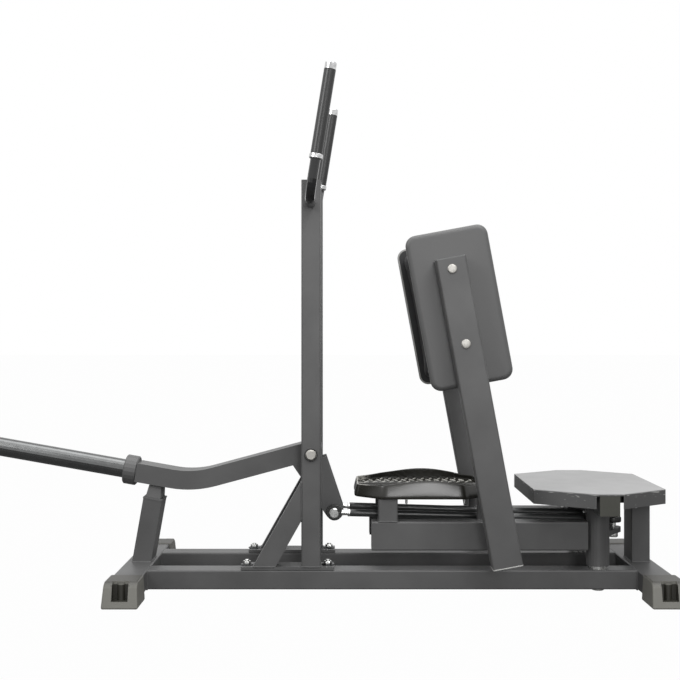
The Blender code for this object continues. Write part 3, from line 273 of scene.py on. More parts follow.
def footPolyamide():
    # Glass filled feet: pale olive, with painted shade inside the bolt pockets and on the faces that turn
    # upwards.
    # A point is in a pocket where ||x - middle| - apart| < half, z < top and |y| + draft * z < face
    nylon = {"dark": "#6d6c66", "light": "#7d7c76", "pocket": "#2c2b25", "trodden": "#42413d",
             "grain": 0.0011, "rough": (0.42, 0.60), "bump": 0.2, "upturned": (0.35, 0.9),
             "middle": 0.20025, "apart": 0.66825, "half": 0.0235, "top": 0.0555, "face": 0.2955,
             "fade": 0.0015, "draft": 0.19}
    material, tree, shader = newMaterial("olivePolyamide", IOR=1.53)
    place = addNode(tree, "TexCoord").outputs["Object"]
    spot = addNode(tree, "SeparateXYZ", {"Vector": place})
    fromMiddle = addNode(tree, "Math", {0: spot.outputs["X"], 1: nylon["middle"]}, operation="SUBTRACT")
    reach = addNode(tree, "Math", {0: fromMiddle.outputs[0]}, operation="ABSOLUTE")
    beside = addNode(tree, "Math", {0: reach.outputs[0], 1: nylon["apart"], 2: nylon["half"]},
                     operation="COMPARE")
    below = addNode(tree, "Math", {0: spot.outputs["Z"], 1: nylon["top"]}, operation="LESS_THAN")
    outer = addNode(tree, "Math", {0: spot.outputs["Y"]}, operation="ABSOLUTE")
    drafted = addNode(tree, "Math", {0: spot.outputs["Z"], 1: nylon["draft"], 2: outer.outputs[0]},
                      operation="MULTIPLY_ADD")
    inside = addNode(tree, "MapRange", {"Value": drafted.outputs[0], "From Min": nylon["face"] - nylon["fade"],
                                        "From Max": nylon["face"], "To Min": 1.0, "To Max": 0.0})
    framed = addNode(tree, "Math", {0: beside.outputs[0], 1: below.outputs[0]}, operation="MULTIPLY")
    pocketShadeShare = addNode(tree, "Math", {0: framed.outputs[0], 1: inside.outputs["Result"]}, operation="MULTIPLY")
    flow = addNode(tree, "TexNoise", {"Vector": place, "Scale": 1 / flowSize, "Detail": 4.0})
    grains = addNode(tree, "TexNoise", {"Vector": place, "Scale": 1 / nylon["grain"], "Detail": 2.0})
    skin = addNode(tree, "Mix", {"Factor": flow.outputs["Fac"], colourA: hexColour(nylon["dark"]),
                                 colourB: hexColour(nylon["light"])}, data_type="RGBA")
    # Painted shade: faces that turn upwards are darker
    facing = addNode(tree, "SeparateXYZ", {"Vector": addNode(tree, "NewGeometry").outputs["Normal"]})
    upturnedShare = addNode(tree, "MapRange", {"Value": facing.outputs["Z"], "From Min": nylon["upturned"][0],
                                         "From Max": nylon["upturned"][1]})
    trodden = addNode(tree, "Mix", {"Factor": upturnedShare.outputs["Result"], colourA: skin.outputs[mixed],
                                    colourB: hexColour(nylon["trodden"])}, data_type="RGBA")
    # Painted shade: the dark pocket colour fills the inside of the bolt pockets
    colour = addNode(tree, "Mix", {"Factor": pocketShadeShare.outputs[0], colourA: trodden.outputs[mixed],
                                   colourB: hexColour(nylon["pocket"])}, data_type="RGBA")
    closeFinish(tree, shader, colour, grains.outputs["Fac"], nylon["rough"], grains.outputs["Fac"],
                nylon["bump"])
    return material


def polypropyleneWearAndGlint():
    # Pedal tray: moulded polypropylene with a gloss skin, pale grey where the mesh attribute is high: rubbed
    # at the tray's front, and a painted glint on the tread's bars
    skin = {"dark": "#1c1b17", "light": "#2a2924", "rubbed": "#e0ded6", "flow": 0.0625, "scuff": 0.00625,
            "patchy": (0.30, 0.52), "rough": (0.25, 0.42)}
    material, tree, shader = newMaterial("glossPolypropylene", IOR=1.49)
    place = addNode(tree, "TexCoord").outputs["Object"]
    flow = addNode(tree, "TexNoise", {"Vector": place, "Scale": 1 / skin["flow"], "Detail": 3.0})
    scuff = addNode(tree, "TexNoise", {"Vector": place, "Scale": 1 / skin["scuff"], "Detail": 4.0})
    wear = addNode(tree, "Attribute", attribute_name="wear")
    patchy = addNode(tree, "MapRange", {"Value": scuff.outputs["Fac"], "From Min": skin["patchy"][0],
                                        "From Max": skin["patchy"][1]})
    share = addNode(tree, "Math", {0: wear.outputs["Fac"], 1: patchy.outputs["Result"]}, operation="MULTIPLY")
    base = addNode(tree, "Mix", {"Factor": flow.outputs["Fac"], colourA: hexColour(skin["dark"]),
                                 colourB: hexColour(skin["light"])}, data_type="RGBA")
    colour = addNode(tree, "Mix", {"Factor": share.outputs[0], colourA: base.outputs[mixed],
                                   colourB: hexColour(skin["rubbed"])}, data_type="RGBA")
    closeFinish(tree, shader, colour, share.outputs[0], skin["rough"])
    return material


def leathercloth(name, dark, light, edge=None):
    # PVC leathercloth: matt, with a pebbled grain that breaks up its sheen. A board's two edge tones are painted
    # shade on its front, towards the leg, and painted light on the rim that the mesh attribute marks
    cloth = {"pebble": 0.0014286, "patch": 0.11111, "front": (0.1922, 0.1930),
             "rough": (0.42, 0.56), "bump": 0.35}
    material, tree, shader = newMaterial(name, IOR=1.5)
    place = addNode(tree, "TexCoord").outputs["Object"]
    pebble = addNode(tree, "TexVoronoi", {"Vector": place, "Scale": 1 / cloth["pebble"]},
                     feature="DISTANCE_TO_EDGE")
    patch = addNode(tree, "TexNoise", {"Vector": place, "Scale": 1 / cloth["patch"], "Detail": 4.0})
    colour = addNode(tree, "Mix", {"Factor": patch.outputs["Fac"], colourA: hexColour(dark),
                                   colourB: hexColour(light)}, data_type="RGBA")
    if edge:
        # Painted shade on the board's front, towards the leg, then painted light on the pale rim
        spot = addNode(tree, "SeparateXYZ", {"Vector": place})
        outer = addNode(tree, "Math", {0: spot.outputs["Y"]}, operation="ABSOLUTE")
        inner = addNode(tree, "MapRange", {"Value": outer.outputs[0], "From Min": cloth["front"][0],
                                           "From Max": cloth["front"][1], "To Min": 1.0, "To Max": 0.0})
        rim = addNode(tree, "Attribute", attribute_name="wear")
        for share, tone in zip((inner.outputs["Result"], rim.outputs["Fac"]), edge):
            colour = addNode(tree, "Mix", {"Factor": share, colourA: colour.outputs[mixed],
                                           colourB: hexColour(tone)}, data_type="RGBA")
    closeFinish(tree, shader, colour, patch.outputs["Fac"], cloth["rough"], pebble.outputs["Distance"],
                cloth["bump"])
    return material


finish = {
    # Satin charcoal on all welded steel; the step's has pale nicks along its upper edges
    "paint": powderCoat("charcoalPowderCoat"),
    "step": powderCoat("chippedPowderCoat", chipped=True),
    # Handle tubes: almost black, with mirrored white edges
    "tube": moulded("glossBlackLacquer", "#1f1f20", "#29292a", grain=0.0016, bump=0.04, rough=(0.10, 0.18)),
    # Pressed nuts and shanks: bright and slightly cloudy
    "zinc": metal("zincPlatedSteel", "#b9bab8", "#e6e6e4", patch=0.005, rough=(0.20, 0.36)),
    # Pad bolts' heads and the lever's cross bolt: dull and a little warm
    "stainless": metal("brushedStainlessSteel", "#9d9b97", "#b5b3ae", patch=0.006, rough=(0.42, 0.54)),
    # Handles' collars and caps: sharp light and dark bands
    "chrome": metal("chromePlatedBrass", "#7c7d7d", "#f4f4f4", patch=0.007, rough=(0.08, 0.16)),
    # Turned plate sleeve: dark grey with a soft band of light
    "sleeve": metal("hardChromedSteel", "#616262", "#757676", patch=0.016, rough=(0.22, 0.30)),
    # Washers on the base plates: oiled, almost black
    "oxide": metal("blackOxideSteel", "#2f3031", "#434445", patch=0.02, rough=(0.28, 0.42)),
    # Push rods: dipped, with one soft line of light
    "rod": moulded("glossBlackEnamel", "#353636", "#464747", grain=0.02, bump=0.05, rough=(0.26, 0.36)),
    "foot": footPolyamide(),
    # Cross tube's end caps: matt dark olive, beside the paler feet
    "endCap": moulded("darkOlivePolyethylene", "#3a3a34", "#484842",
                      grain=0.0012, bump=0.15, rough=(0.4, 0.55)),
    # Bumper that the lever rests on: matt mid grey, without highlights
    "bumper": moulded("bumperRubber", "#575757", "#656565",
                      grain=0.00125, bump=0.25, rough=(0.6, 0.75), ior=1.52),
    # Pad posts' top and foot caps: a little lighter than the paint, and almost white, a painted highlight
    "cap": moulded("greyPolyethylene", "#5a5b5b", "#666767", grain=0.0012, bump=0.15, rough=(0.36, 0.5)),
    "pale": moulded("naturalPolyethylene", "#d2d2cf", "#e0e0dd", grain=0.0012, bump=0.12, rough=(0.36, 0.5)),
    # Grips, and rings round the lever's cross bolt: black, with a soft sheen that shows the grain
    "grip": moulded("nitrileRubber", "#202020", "#2e2e2e",
                    grain=0.00125, bump=0.30, rough=(0.30, 0.42), ior=1.52),
    # Step's mat: pale and even, lighter than all around it
    "mat": moulded("palePvcSheet", "#989898", "#a8a8a8", grain=0.00125, bump=0.25, rough=(0.5, 0.65)),
    # Rod ends and small fittings: plain black
    "plastic": moulded("blackPolyethylene", "#1d1d1c", "#2a2a29", grain=0.0012, bump=0.15, rough=(0.36, 0.5)),
    # Pedals: black gloss, rubbed pale at the front, with a painted glint on the tread's bars
    "pedal": polypropyleneWearAndGlint(),
    # Boards: grey, with painted light on the rim and painted shade on the black front. Cushions and their
    # piping: black, with a grey thread
    "board": leathercloth("greyBackVinyl", "#565656", "#616161", ("#262627", "#a4a4a2")),
    "pad": leathercloth("blackSeatVinyl", "#1f1f20", "#2a2a2b"),
    "piping": moulded("pipingVinyl", "#222223", "#2c2c2d", grain=0.0012, bump=0.2, rough=(0.36, 0.5)),
    "thread": moulded("bondedNylonThread", "#4a4b4d", "#606163",
                      grain=0.0006, bump=0.3, rough=(0.5, 0.7), ior=1.53),
}
slotFinish = {
    "frame_paint": "paint", "sleeve_steel": "sleeve", "bright_steel": "zinc", "black_rubber": "bumper",
    "mat_rubber": "mat", "foot_plastic": "foot", "black_plastic": "plastic", "rod_paint": "rod",
    "board_plastic": "board", "pad_vinyl": "pad",
}
nodeFinish = {"grip": "grip", "pedal": "pedal", "grip_collar": "chrome", "grip_cap": "chrome", "handle": "tube",
              "cross_tube_cap": "endCap", "step_deck": "step", "lever_axle": "stainless"}
for part in frame["record"]["subparts"]:
    name = part["node"]
    kind = name.replace("left_", "").replace("right_", "")
    chosen = nodeFinish.get(kind, slotFinish[part["material_slot"]])
    nodes[name].data.materials.clear()
    nodes[name].data.materials.append(finish[chosen])
print("finished the solids")


# Thigh pads: a moulded board, a cushion swollen as cloth, piping round its face and stitches beside it

pad = {"lean": math.radians(10.5), "width": 0.210, "height": 0.397, "corner": 0.027, "spacing": 0.004}
padAlong = np.array([-math.sin(pad["lean"]), 0, math.cos(pad["lean"])])
padAcross = np.array([math.cos(pad["lean"]), 0, math.sin(pad["lean"])])


def padCentre(side, depth=0.0):  # middle of the board's outer face, or a depth behind it
    low, high = [np.array(corner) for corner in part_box(side + "_pad_board")]
    middle = (low + high) / 2
    middle[1] = (low[1] if side == "left" else high[1]) - sides[side] * depth
    return middle


# Rings of the board's outline as (inset, depth): flat back, an edge rolled over 11 mm, and a flat front
board = {
    "rings": [(0.0125, 0), (0.0112, 0.00005), (0.0085, 0.0005), (0.0060, 0.0014), (0.0038, 0.0027),
              (0.0018, 0.0044), (0.0005, 0.0064), (0, 0.0086), (0, 0.0106), (0.0008, 0.0118), (0.003, 0.012),
              (0.0046, 0.012), (0.0050, 0.012)],
    "paleDepth": 0.0080, "paleInset": 0.0048,
}


def addBoard(side):  # painted light: 1 on the pale rim, deeper than paleDepth and out to the front's paleInset
    loop = roundedLoop(pad["width"], pad["height"], pad["corner"], pad["spacing"])
    grid = pressed(loop, board["rings"], padCentre(side), padAcross, padAlong, (0, -sides[side], 0))
    pale = [float(depth > board["paleDepth"] and inset < board["paleInset"]) for inset, depth in board["rings"]]
    wear = np.broadcast_to(np.array([0] + pale + [0])[:, None], grid.shape[:2])
    mesh = surface(side + "PadBoard", [grid], wear=wear)
    addPiece(side + "PadBoard", mesh, finish["board"], side + "_swing", [side + "_pad_board"])


cushioning = {"merge": 0.00001, "shrink": 0.0025, "voxel": 0.005, "pressure": 4.0, "quality": 5, "frames": 20,
              "cap": 0.009, "tiny": 0.000001}


def swell(piece, plane, inward):
    # Cloth under pressure: each point moves by step * min(1, cap / |step|) and never into the board
    voxels = piece.modifiers.new("voxels", "REMESH")
    voxels.mode = "VOXEL"
    voxels.voxel_size = cushioning["voxel"]
    graph = bpy.context.evaluated_depsgraph_get()
    mesh = bpy.data.meshes.new_from_object(piece.evaluated_get(graph))
    piece.modifiers.clear()
    piece.data = mesh
    start = np.empty(3 * len(mesh.vertices))
    mesh.vertices.foreach_get("co", start)
    start = start.reshape(-1, 3)
    moved = start
    cloth = piece.modifiers.new("cloth", "CLOTH")
    cloth.settings.use_pressure = True
    cloth.settings.uniform_pressure_force = cushioning["pressure"]
    cloth.settings.effector_weights.gravity = 0
    cloth.settings.quality = cushioning["quality"]
    for count in range(cushioning["frames"]):
        bpy.context.scene.frame_set(count + 1)
    graph = bpy.context.evaluated_depsgraph_get()
    moved = np.empty(start.size)
    piece.evaluated_get(graph).data.vertices.foreach_get("co", moved)
    moved = moved.reshape(-1, 3)
    piece.modifiers.clear()
    bpy.context.scene.frame_set(1)
    step = moved - start
    reach = np.linalg.norm(step, axis=1, keepdims=True)
    moved = start + step * np.minimum(1, cushioning["cap"] / np.maximum(reach, cushioning["tiny"]))
    moved[:, 1] = plane + inward * np.maximum(inward * (moved[:, 1] - plane), 0)
    mesh.vertices.foreach_set("co", moved.ravel())
    mesh.update()
    mesh.shade_smooth()


def addCushion(side):  # the CAD pad, shrunk by a little on each side and then swollen
    inward = -sides[side]
    solid = bmesh.new()
    solid.from_mesh(nodes[side + "_pad"].data)
    bmesh.ops.remove_doubles(solid, verts=solid.verts, dist=cushioning["merge"])
    mesh = bpy.data.meshes.new(side + "Cushion")
    solid.to_mesh(mesh)
    solid.free()
    points = np.empty(3 * len(mesh.vertices))
    mesh.vertices.foreach_get("co", points)
    points = points.reshape(-1, 3)
    low, high = points.min(axis=0), points.max(axis=0)
    plane = low[1] if inward > 0 else high[1]
    shrunk = 1 - 2 * cushioning["shrink"] / (high - low)
    points = (points - (low + high) / 2) * shrunk + (low + high) / 2
    mesh.vertices.foreach_set("co", points.ravel())
    cushion = addPiece(side + "Cushion", mesh, finish["pad"], side + "_swing", [side + "_pad"])
    swell(cushion, plane, inward)
    cushion.data.materials.clear()
    cushion.data.materials.append(finish["pad"])
    rounding = cushion.modifiers.new("rounding", "SUBSURF")
    rounding.levels = rounding.render_levels = 1
    return cushion


seam = {"behind": 0.0123, "depth": 0.036, "core": np.array([0.070, 0.160]), "around": 1.12, "passes": 2,
        "radius": 0.0021, "steps": 10}
stitch = {"pitch": 0.0055, "back": 0.0050, "half": 0.38, "radius": 0.0005, "rings": 6, "steps": 6}


def addPiping(side, cushion):
    # Piping follows the cushion itself: rays from outside the outline find its side at one depth
    tree = BVHTree.FromObject(cushion, bpy.context.evaluated_depsgraph_get())
    loop = roundedLoop(pad["width"], pad["height"], pad["corner"], pad["spacing"])
    core = np.clip(loop, -seam["core"], seam["core"])
    middle = padCentre(side, seam["behind"] + seam["depth"])
    origins, targets = [middle + flat[:, :1] * padAcross + flat[:, 1:] * padAlong
                        for flat in (loop * seam["around"], core)]
    path = np.array([tree.ray_cast(Vector(a), Vector(b - a))[0] or b for a, b in zip(origins, targets)])
    for _ in range(seam["passes"]):
        path = (np.roll(path, 1, axis=0) + 2 * path + np.roll(path, -1, axis=0)) / 4
    normal = np.array([0.0, -sides[side], 0])
    mesh = surface(side + "PadPiping", [rope(path, seam["radius"], normal, seam["steps"])])
    addPiece(side + "PadPiping", mesh, finish["piping"], side + "_swing")
    return path, normal


def addStitches(side, path, normal):
    # Spindles of radius r * sqrt(1 - t^2) along t = -1 to 1, on the side band a little behind the piping
    line = evenly(path, stitch["pitch"]) - normal * stitch["back"]
    tangent = np.roll(line, -1, axis=0) - np.roll(line, 1, axis=0)
    tangent /= np.linalg.norm(tangent, axis=1, keepdims=True)
    away = np.cross(tangent, normal)
    share = np.linspace(-1, 1, stitch["rings"])
    angle = np.linspace(0, 2 * np.pi, stitch["steps"], endpoint=False)
    spindle = stitch["radius"] * np.sqrt(1 - share ** 2)
    reach = share * stitch["pitch"] * stitch["half"]
    along = line[:, None, None] + tangent[:, None, None] * reach[None, :, None, None]
    about = (np.cos(angle)[None, None, :, None] * normal
             + np.sin(angle)[None, None, :, None] * away[:, None, None])
    mesh = surface(side + "PadStitches", list(along + spindle[None, :, None, None] * about))
    addPiece(side + "PadStitches", mesh, finish["thread"], side + "_swing")


for side in sides:
    addBoard(side)
    cushion = addCushion(side)
    addStitches(side, *addPiping(side, cushion))
    print("upholstered the", side, "pad")


# Pedals: a thin tray with a leaning gloss wall, and a tread with rows of low slanting bars

pedal = {"under": 0.2416, "tread": 0.2611, "front": 0.1037, "rear": 0.4467, "inner": 0.012, "outer": 0.140,
         "frontTaper": (0.070, 0.058), "rearTaper": (0.056, 0.050), "spacing": 0.0016, "rounding": (7, 5),
         "innerRim": 0.003, "rim": 0.013, "riseFrom": 0.016, "riseOver": 0.016,
         "hump": 0.015, "humpFrom": 0.026, "humpLength": 0.291, "humpSkew": 1.22, "humpFlat": 0.8}


def easeIn(value):  # smooth step: 3t^2 - 2t^3 of the clamped value
    value = np.clip(value, 0, 1)
    return value * value * (3 - 2 * value)


def pedalLoop():  # six cornered plan, rounded by averaging each point with its neighbours
    front, rear, inner, outer = (pedal[key] for key in ("front", "rear", "inner", "outer"))
    along, back = pedal["frontTaper"], pedal["rearTaper"]
    corners = [(front, inner), (rear, inner), (rear, outer - back[1]), (rear - back[0], outer),
               (front + along[0], outer), (front, outer - along[1])]
    loop = evenly(corners, pedal["spacing"])
    for reach in pedal["rounding"]:
        loop = sum(np.roll(loop, k, axis=0) for k in range(-reach, reach + 1)) / (2 * reach + 1)
    low, high = loop.min(axis=0), loop.max(axis=0)
    return (loop - low) / (high - low) * (rear - front, outer - inner) + (front, inner)


def rimHeight(loop):
    # Low on the inner side, then the rim, with a hump of h * (0.5 - 0.5 cos(2 pi s^skew))^flat along the length
    share = np.clip((loop[:, 0] - pedal["front"] - pedal["humpFrom"]) / pedal["humpLength"], 0, 1)
    hump = pedal["hump"] * (0.5 - 0.5 * np.cos(2 * np.pi * share ** pedal["humpSkew"])) ** pedal["humpFlat"]
    rise = easeIn((loop[:, 1] - pedal["riseFrom"]) / pedal["riseOver"])
    return pedal["tread"] + pedal["innerRim"] + rise * (pedal["rim"] - pedal["innerRim"] + hump)


# The tray's section, row by row. Outside, from below: (inset, height over the underside, share of the way from
# there to the rim, drop from the rim). Inside, from above: (inset, share from the tread to the rim, lift)
tray = {
    "foot": [(0.012, 0, 0, 0), (0.0042, 0, 0, 0), (0.0018, 0.0005, 0, 0), (0.0005, 0.0019, 0, 0),
             (0, 0.0042, 0, 0)],
    "lean": 0.0062, "curve": 1.3, "wallFrom": 0.0042, "wallDrop": 0.0018, "wallShares": (0.15, 1, 7),
    "lip": [(0.0067, 0, 1, 0.0005), (0.0076, 0, 1, 0), (0.0098, 0, 1, 0), (0.0107, 0, 1, 0.0005),
            (0.0112, 0, 1, 0.0016)],
    "inside": [(0.0111, 0.90, 0), (0.0098, 0.60, 0), (0.0083, 0.25, 0), (0.0076, 0, 0.0022),
               (0.0082, 0, 0.0010), (0.0096, 0, 0.0003), (0.0170, 0, 0), (0.0190, 0, 0)],
    "step": 0.002, "lipFrom": 0.0065, "lipWear": 0.5, "insideWear": 0.9, "wornLift": 0.002,
    "wornLength": 0.045, "wornFade": 0.03,
}


def addTray(side, loop):  # rows are the plan moved inwards; shoes wear its front end
    rows = tray["foot"] + [(tray["lean"] * share ** tray["curve"], tray["wallFrom"], share, tray["wallDrop"])
                           for share in np.linspace(*tray["wallShares"])] + tray["lip"]
    normal = outward(loop)
    rim = rimHeight(loop)
    points, wear = [], []
    worn = easeIn((pedal["front"] + tray["wornLength"] - loop[:, 0]) / tray["wornFade"])
    for inset, base, share, drop in rows:
        low = pedal["under"] + base
        height = low + share * (rim - drop - low)
        points.append(np.column_stack([loop - inset * normal, height]))
        wear.append(worn * (tray["lipWear"] if share == 1 and inset > tray["lipFrom"] else 0.0))
    for inset, share, lift in tray["inside"]:
        low = pedal["tread"] + lift + tray["step"] * (share > 0)
        points.append(np.column_stack([loop - inset * normal, low + share * (rim - low)]))
        wear.append(worn * (tray["insideWear"] if share or lift > tray["wornLift"] else 0.0))
    points = [np.broadcast_to(points[0].mean(axis=0), points[0].shape)] + points
    points.append(np.broadcast_to(points[-1].mean(axis=0), points[0].shape))
    wear = [wear[0]] + wear + [wear[-1]]
    grid = np.array(points) * (1, sides[side], 1)
    mesh = surface(side + "PedalTray", [grid], wear=np.array(wear))
    addPiece(side + "PedalTray", mesh, finish["pedal"], side + "_swing", [side + "_pedal"])


bars = {"cell": (0.0230, 0.0340), "slant": 0.42, "reach": 0.0115, "width": 0.0036, "height": 0.0022,
        "inset": 0.0165, "end": 0.001, "middle": 0.06, "rows": 330, "columns": 110, "fade": 0.004,
        "lift": 0.00015, "hem": 0.0004, "tuck": 0.0006}


def addTread(side, loop):
    # Heights on a grid between the tray's walls: lift + height * (1 - easeIn(d / width)) at a distance d from a
    # cell's one bar, which slants the other way in the next row
    inner = loop - bars["inset"] * outward(loop)
    x = np.linspace(inner[:, 0].min() + bars["end"], inner[:, 0].max() - bars["end"], bars["rows"])
    walls = []
    for wall in (inner[inner[:, 1] < bars["middle"]], inner[inner[:, 1] >= bars["middle"]]):
        wall = wall[np.argsort(wall[:, 0])]
        walls.append(np.interp(x, wall[:, 0], wall[:, 1]))
    start, end = walls
    share = np.linspace(0, 1, bars["columns"])
    y = start[:, None] + share * (end - start)[:, None]
    x = np.broadcast_to(x[:, None], y.shape)
    length, width = bars["cell"]
    row = np.floor(y / width)
    along = (x / length + 0.5 * (row % 2)) % 1 * length - length / 2
    across = y - (row + 0.5) * width
    lean = np.where(row % 2 > 0, bars["slant"], -bars["slant"])
    off = np.hypot(along - lean * across, np.maximum(np.abs(across) - bars["reach"], 0))
    ridge = 1 - easeIn(off / bars["width"])
    toWall = np.minimum(share, 1 - share) * (end - start)[:, None]
    edge = np.minimum(np.minimum(x - x.min(), x.max() - x), toWall)
    fade = easeIn(edge / bars["fade"])
    z = pedal["tread"] + bars["lift"] + fade * ridge * bars["height"] - (edge < bars["hem"]) * bars["tuck"]
    grid = np.stack([x, y * sides[side], z], axis=-1)
    # Painted glint: the bars' crests take the pale colour through the mesh attribute
    mesh = surface(side + "PedalTread", [grid], closed=False, wear=fade * ridge)
    if mesh.polygons[len(mesh.polygons) // 2].normal.z < 0:
        mesh.flip_normals()
    addPiece(side + "PedalTread", mesh, finish["pedal"], side + "_swing")


for side in sides:
    loop = pedalLoop()
    addTray(side, loop)
    addTread(side, loop)
print("moulded the pedals")


# Fasteners: turned shapes as (radius, height, hexagon share), set on a place along an axis

def addTurnings(name, shapes, material, body):
    grids = [turnedTo(turned(profile), place, axis) for profile, place, axis in shapes]
    addPiece(name, surface(name, grids), finish[material], body)


baseBolt = {
    "washer": [(0, 0, 0), (0.0160, 0, 0), (0.0165, 0.0006, 0), (0.0160, 0.0018, 0), (0.0122, 0.0032, 0),
               (0, 0.0032, 0)],
    "nut": [(0, 0.0030, 0), (0.0098, 0.0030, 1), (0.0104, 0.0038, 1), (0.0104, 0.0092, 1),
            (0.0094, 0.0104, 0.5), (0, 0.0104, 0)],
    "stud": [(0, 0.0098, 0), (0.0056, 0.0098, 0), (0.0056, 0.0128, 0), (0.0046, 0.0138, 0), (0, 0.0140, 0)],
    "x": (-0.1755, 0.0345), "y": 0.109, "z": 0.0683,
}
basePlaces = [(x, sign * baseBolt["y"], baseBolt["z"]) for x in baseBolt["x"] for sign in sides.values()]
up = (0, 0, 1)
addTurnings("basePlateWashers", [(baseBolt["washer"], place, up) for place in basePlaces], "oxide", "frame")
addTurnings("basePlateNuts", [(baseBolt[kind], place, up) for kind in ("nut", "stud") for place in basePlaces],
            "zinc", "frame")

padBolt = {
    "head": [(0, -0.0004, 0), (0.0112, -0.0004, 0), (0.0117, 0.0006, 0), (0.0115, 0.0022, 0),
             (0.0104, 0.0032, 0), (0.0086, 0.0036, 0), (0, 0.0037, 0)],
    "places": ((0.3429, 0.8275), (0.3769, 0.6427)), "face": 0.2541,
}
treadBolt = {
    "nut": [(0, 0, 0), (0.0078, 0, 0), (0.0078, -0.0014, 0), (0.0066, -0.0016, 1), (0.0068, -0.0022, 1),
            (0.0068, -0.0068, 1), (0.0062, -0.0076, 0.4), (0.0032, -0.0078, 0), (0.0032, -0.0192, 0),
            (0.0024, -0.0204, 0), (0, -0.0206, 0)],
    "x": (0.2407, 0.3943), "y": 0.076, "z": 0.2416,
}
crankStud = {
    "nut": [(0, 0.1284, 0), (0.0119, 0.1284, 0.6), (0.0129, 0.1294, 1), (0.0129, 0.1420, 1),
            (0.0119, 0.1428, 0.6), (0, 0.1428, 0)],
    "neck": [(0, 0.1556, 0), (0.0100, 0.1556, 0), (0.0100, 0.1572, 0), (0.0075, 0.1580, 0), (0.0075, 0.1660, 0),
             (0, 0.1660, 0)],
    "x": 0.7935, "y": 0.042,
}
nipple = {
    "body": [(0, -0.002, 0), (0.0042, -0.002, 1), (0.0042, 0.0022, 1), (0.0028, 0.0030, 0), (0.0022, 0.0042, 0),
             (0.0029, 0.0058, 0), (0.0026, 0.0074, 0), (0.0012, 0.0084, 0), (0, 0.0085, 0)],
    "place": (0.7062, 0.109, 0.2060),
}
for side, sign in sides.items():
    shapes = [(padBolt["head"], (x, sign * padBolt["face"], z), (0, sign, 0)) for x, z in padBolt["places"]]
    addTurnings(side + "PadBolts", shapes, "stainless", side + "_swing")
    shapes = [(treadBolt["nut"], (x, sign * treadBolt["y"], treadBolt["z"]), up) for x in treadBolt["x"]]
    shapes += [(crankStud[kind], (crankStud["x"], sign * crankStud["y"], 0), up) for kind in ("nut", "neck")]
    x, y, z = nipple["place"]
    shapes.append((nipple["body"], (x, sign * y, z), (-1, 0, 0)))
    addTurnings(side + "SwingFasteners", shapes, "zinc", side + "_swing")

stepBolt = {
    "nut": [(0, 0.2600, 0), (0.0085, 0.2600, 0), (0.0085, 0.2584, 0), (0.0074, 0.2580, 1), (0.0074, 0.2520, 1),
            (0.0060, 0.2510, 0), (0.0060, 0.2276, 0), (0.0050, 0.2266, 0), (0, 0.2264, 0)],
    "places": ((0.6316, 0.165), (0.8160, 0.175)),
}
shapes = [(stepBolt["nut"], (x, sign * y, 0), up) for x, y in stepBolt["places"] for sign in sides.values()]
addTurnings("stepBolts", shapes, "zinc", "frame")

axleWasher = {
    "ring": [(0.0139, 0, 0), (0.0139, 0.0012, 0), (0.0144, 0.0016, 0), (0.0166, 0.0016, 0), (0.0172, 0.0010, 0),
             (0.0172, 0, 0), (0.0139, 0, 0)],
    "behindHead": 0.0069,
}
axleLow, axleHigh = [np.array(corner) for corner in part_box("lever_axle")]
x, y, z = (axleLow + axleHigh) / 2
outer = axleHigh[1] - axleWasher["behindHead"]
shapes = [(axleWasher["ring"], (x, sign * outer, z), (0, sign, 0)) for sign in sides.values()]
addTurnings("axleWashers", shapes, "grip", "frame")

# Painted shade: dark blocks that fill the notches of the deck's rim, either side of the cross tube's end caps;
# a pressed outline has rings of (inset, height)
notchShade = {"size": (0.0380, 0.0215), "corner": 0.002, "spacing": 0.002, "x": (0.6900, 0.7810), "y": 0.200,
          "z": 0.2548, "rings": [(0.001, -0.006), (0, -0.005), (0, 0.005), (0.001, 0.006)]}
loop = roundedLoop(*notchShade["size"], notchShade["corner"], notchShade["spacing"])
grids = [pressed(loop, notchShade["rings"], (x, sign * notchShade["y"], notchShade["z"]), (1, 0, 0), up, (0, -1, 0))
         for x in notchShade["x"] for sign in sides.values()]
addPiece("stepSaddles", surface("stepSaddles", grids), finish["plastic"], "frame")
print("set the fasteners")


# Push rods: dark eyes round the balls, zinc shanks with lock nuts, and an enamelled tube between them

rod = {
    "eye": [(0.0127, -0.0056, 0), (0.0137, -0.0065, 0), (0.0196, -0.0065, 0), (0.0207, -0.0056, 0),
            (0.0210, -0.0040, 0), (0.0210, 0.0040, 0), (0.0207, 0.0056, 0), (0.0196, 0.0065, 0),
            (0.0137, 0.0065, 0), (0.0127, 0.0056, 0), (0.0127, -0.0056, 0)],
    "shank": [(0, 0.0190, 0), (0.0074, 0.0190, 0), (0.0074, 0.0240, 0), (0.0070, 0.0250, 0),
              (0.0070, 0.0350, 0), (0.0096, 0.0352, 0.6), (0.0104, 0.0360, 1), (0.0104, 0.0408, 1),
              (0.0096, 0.0416, 0.6), (0, 0.0416, 0)],
    "eyeSteps": 48, "radius": 0.0095, "start": 0.0414, "rear": (0.7935, 0.042, 0.1753),
    "rounding": [(0.0012, 0), (0.0003, 0.0004), (0, 0.0014)], "plain": 0.02, "rings": 24,
}
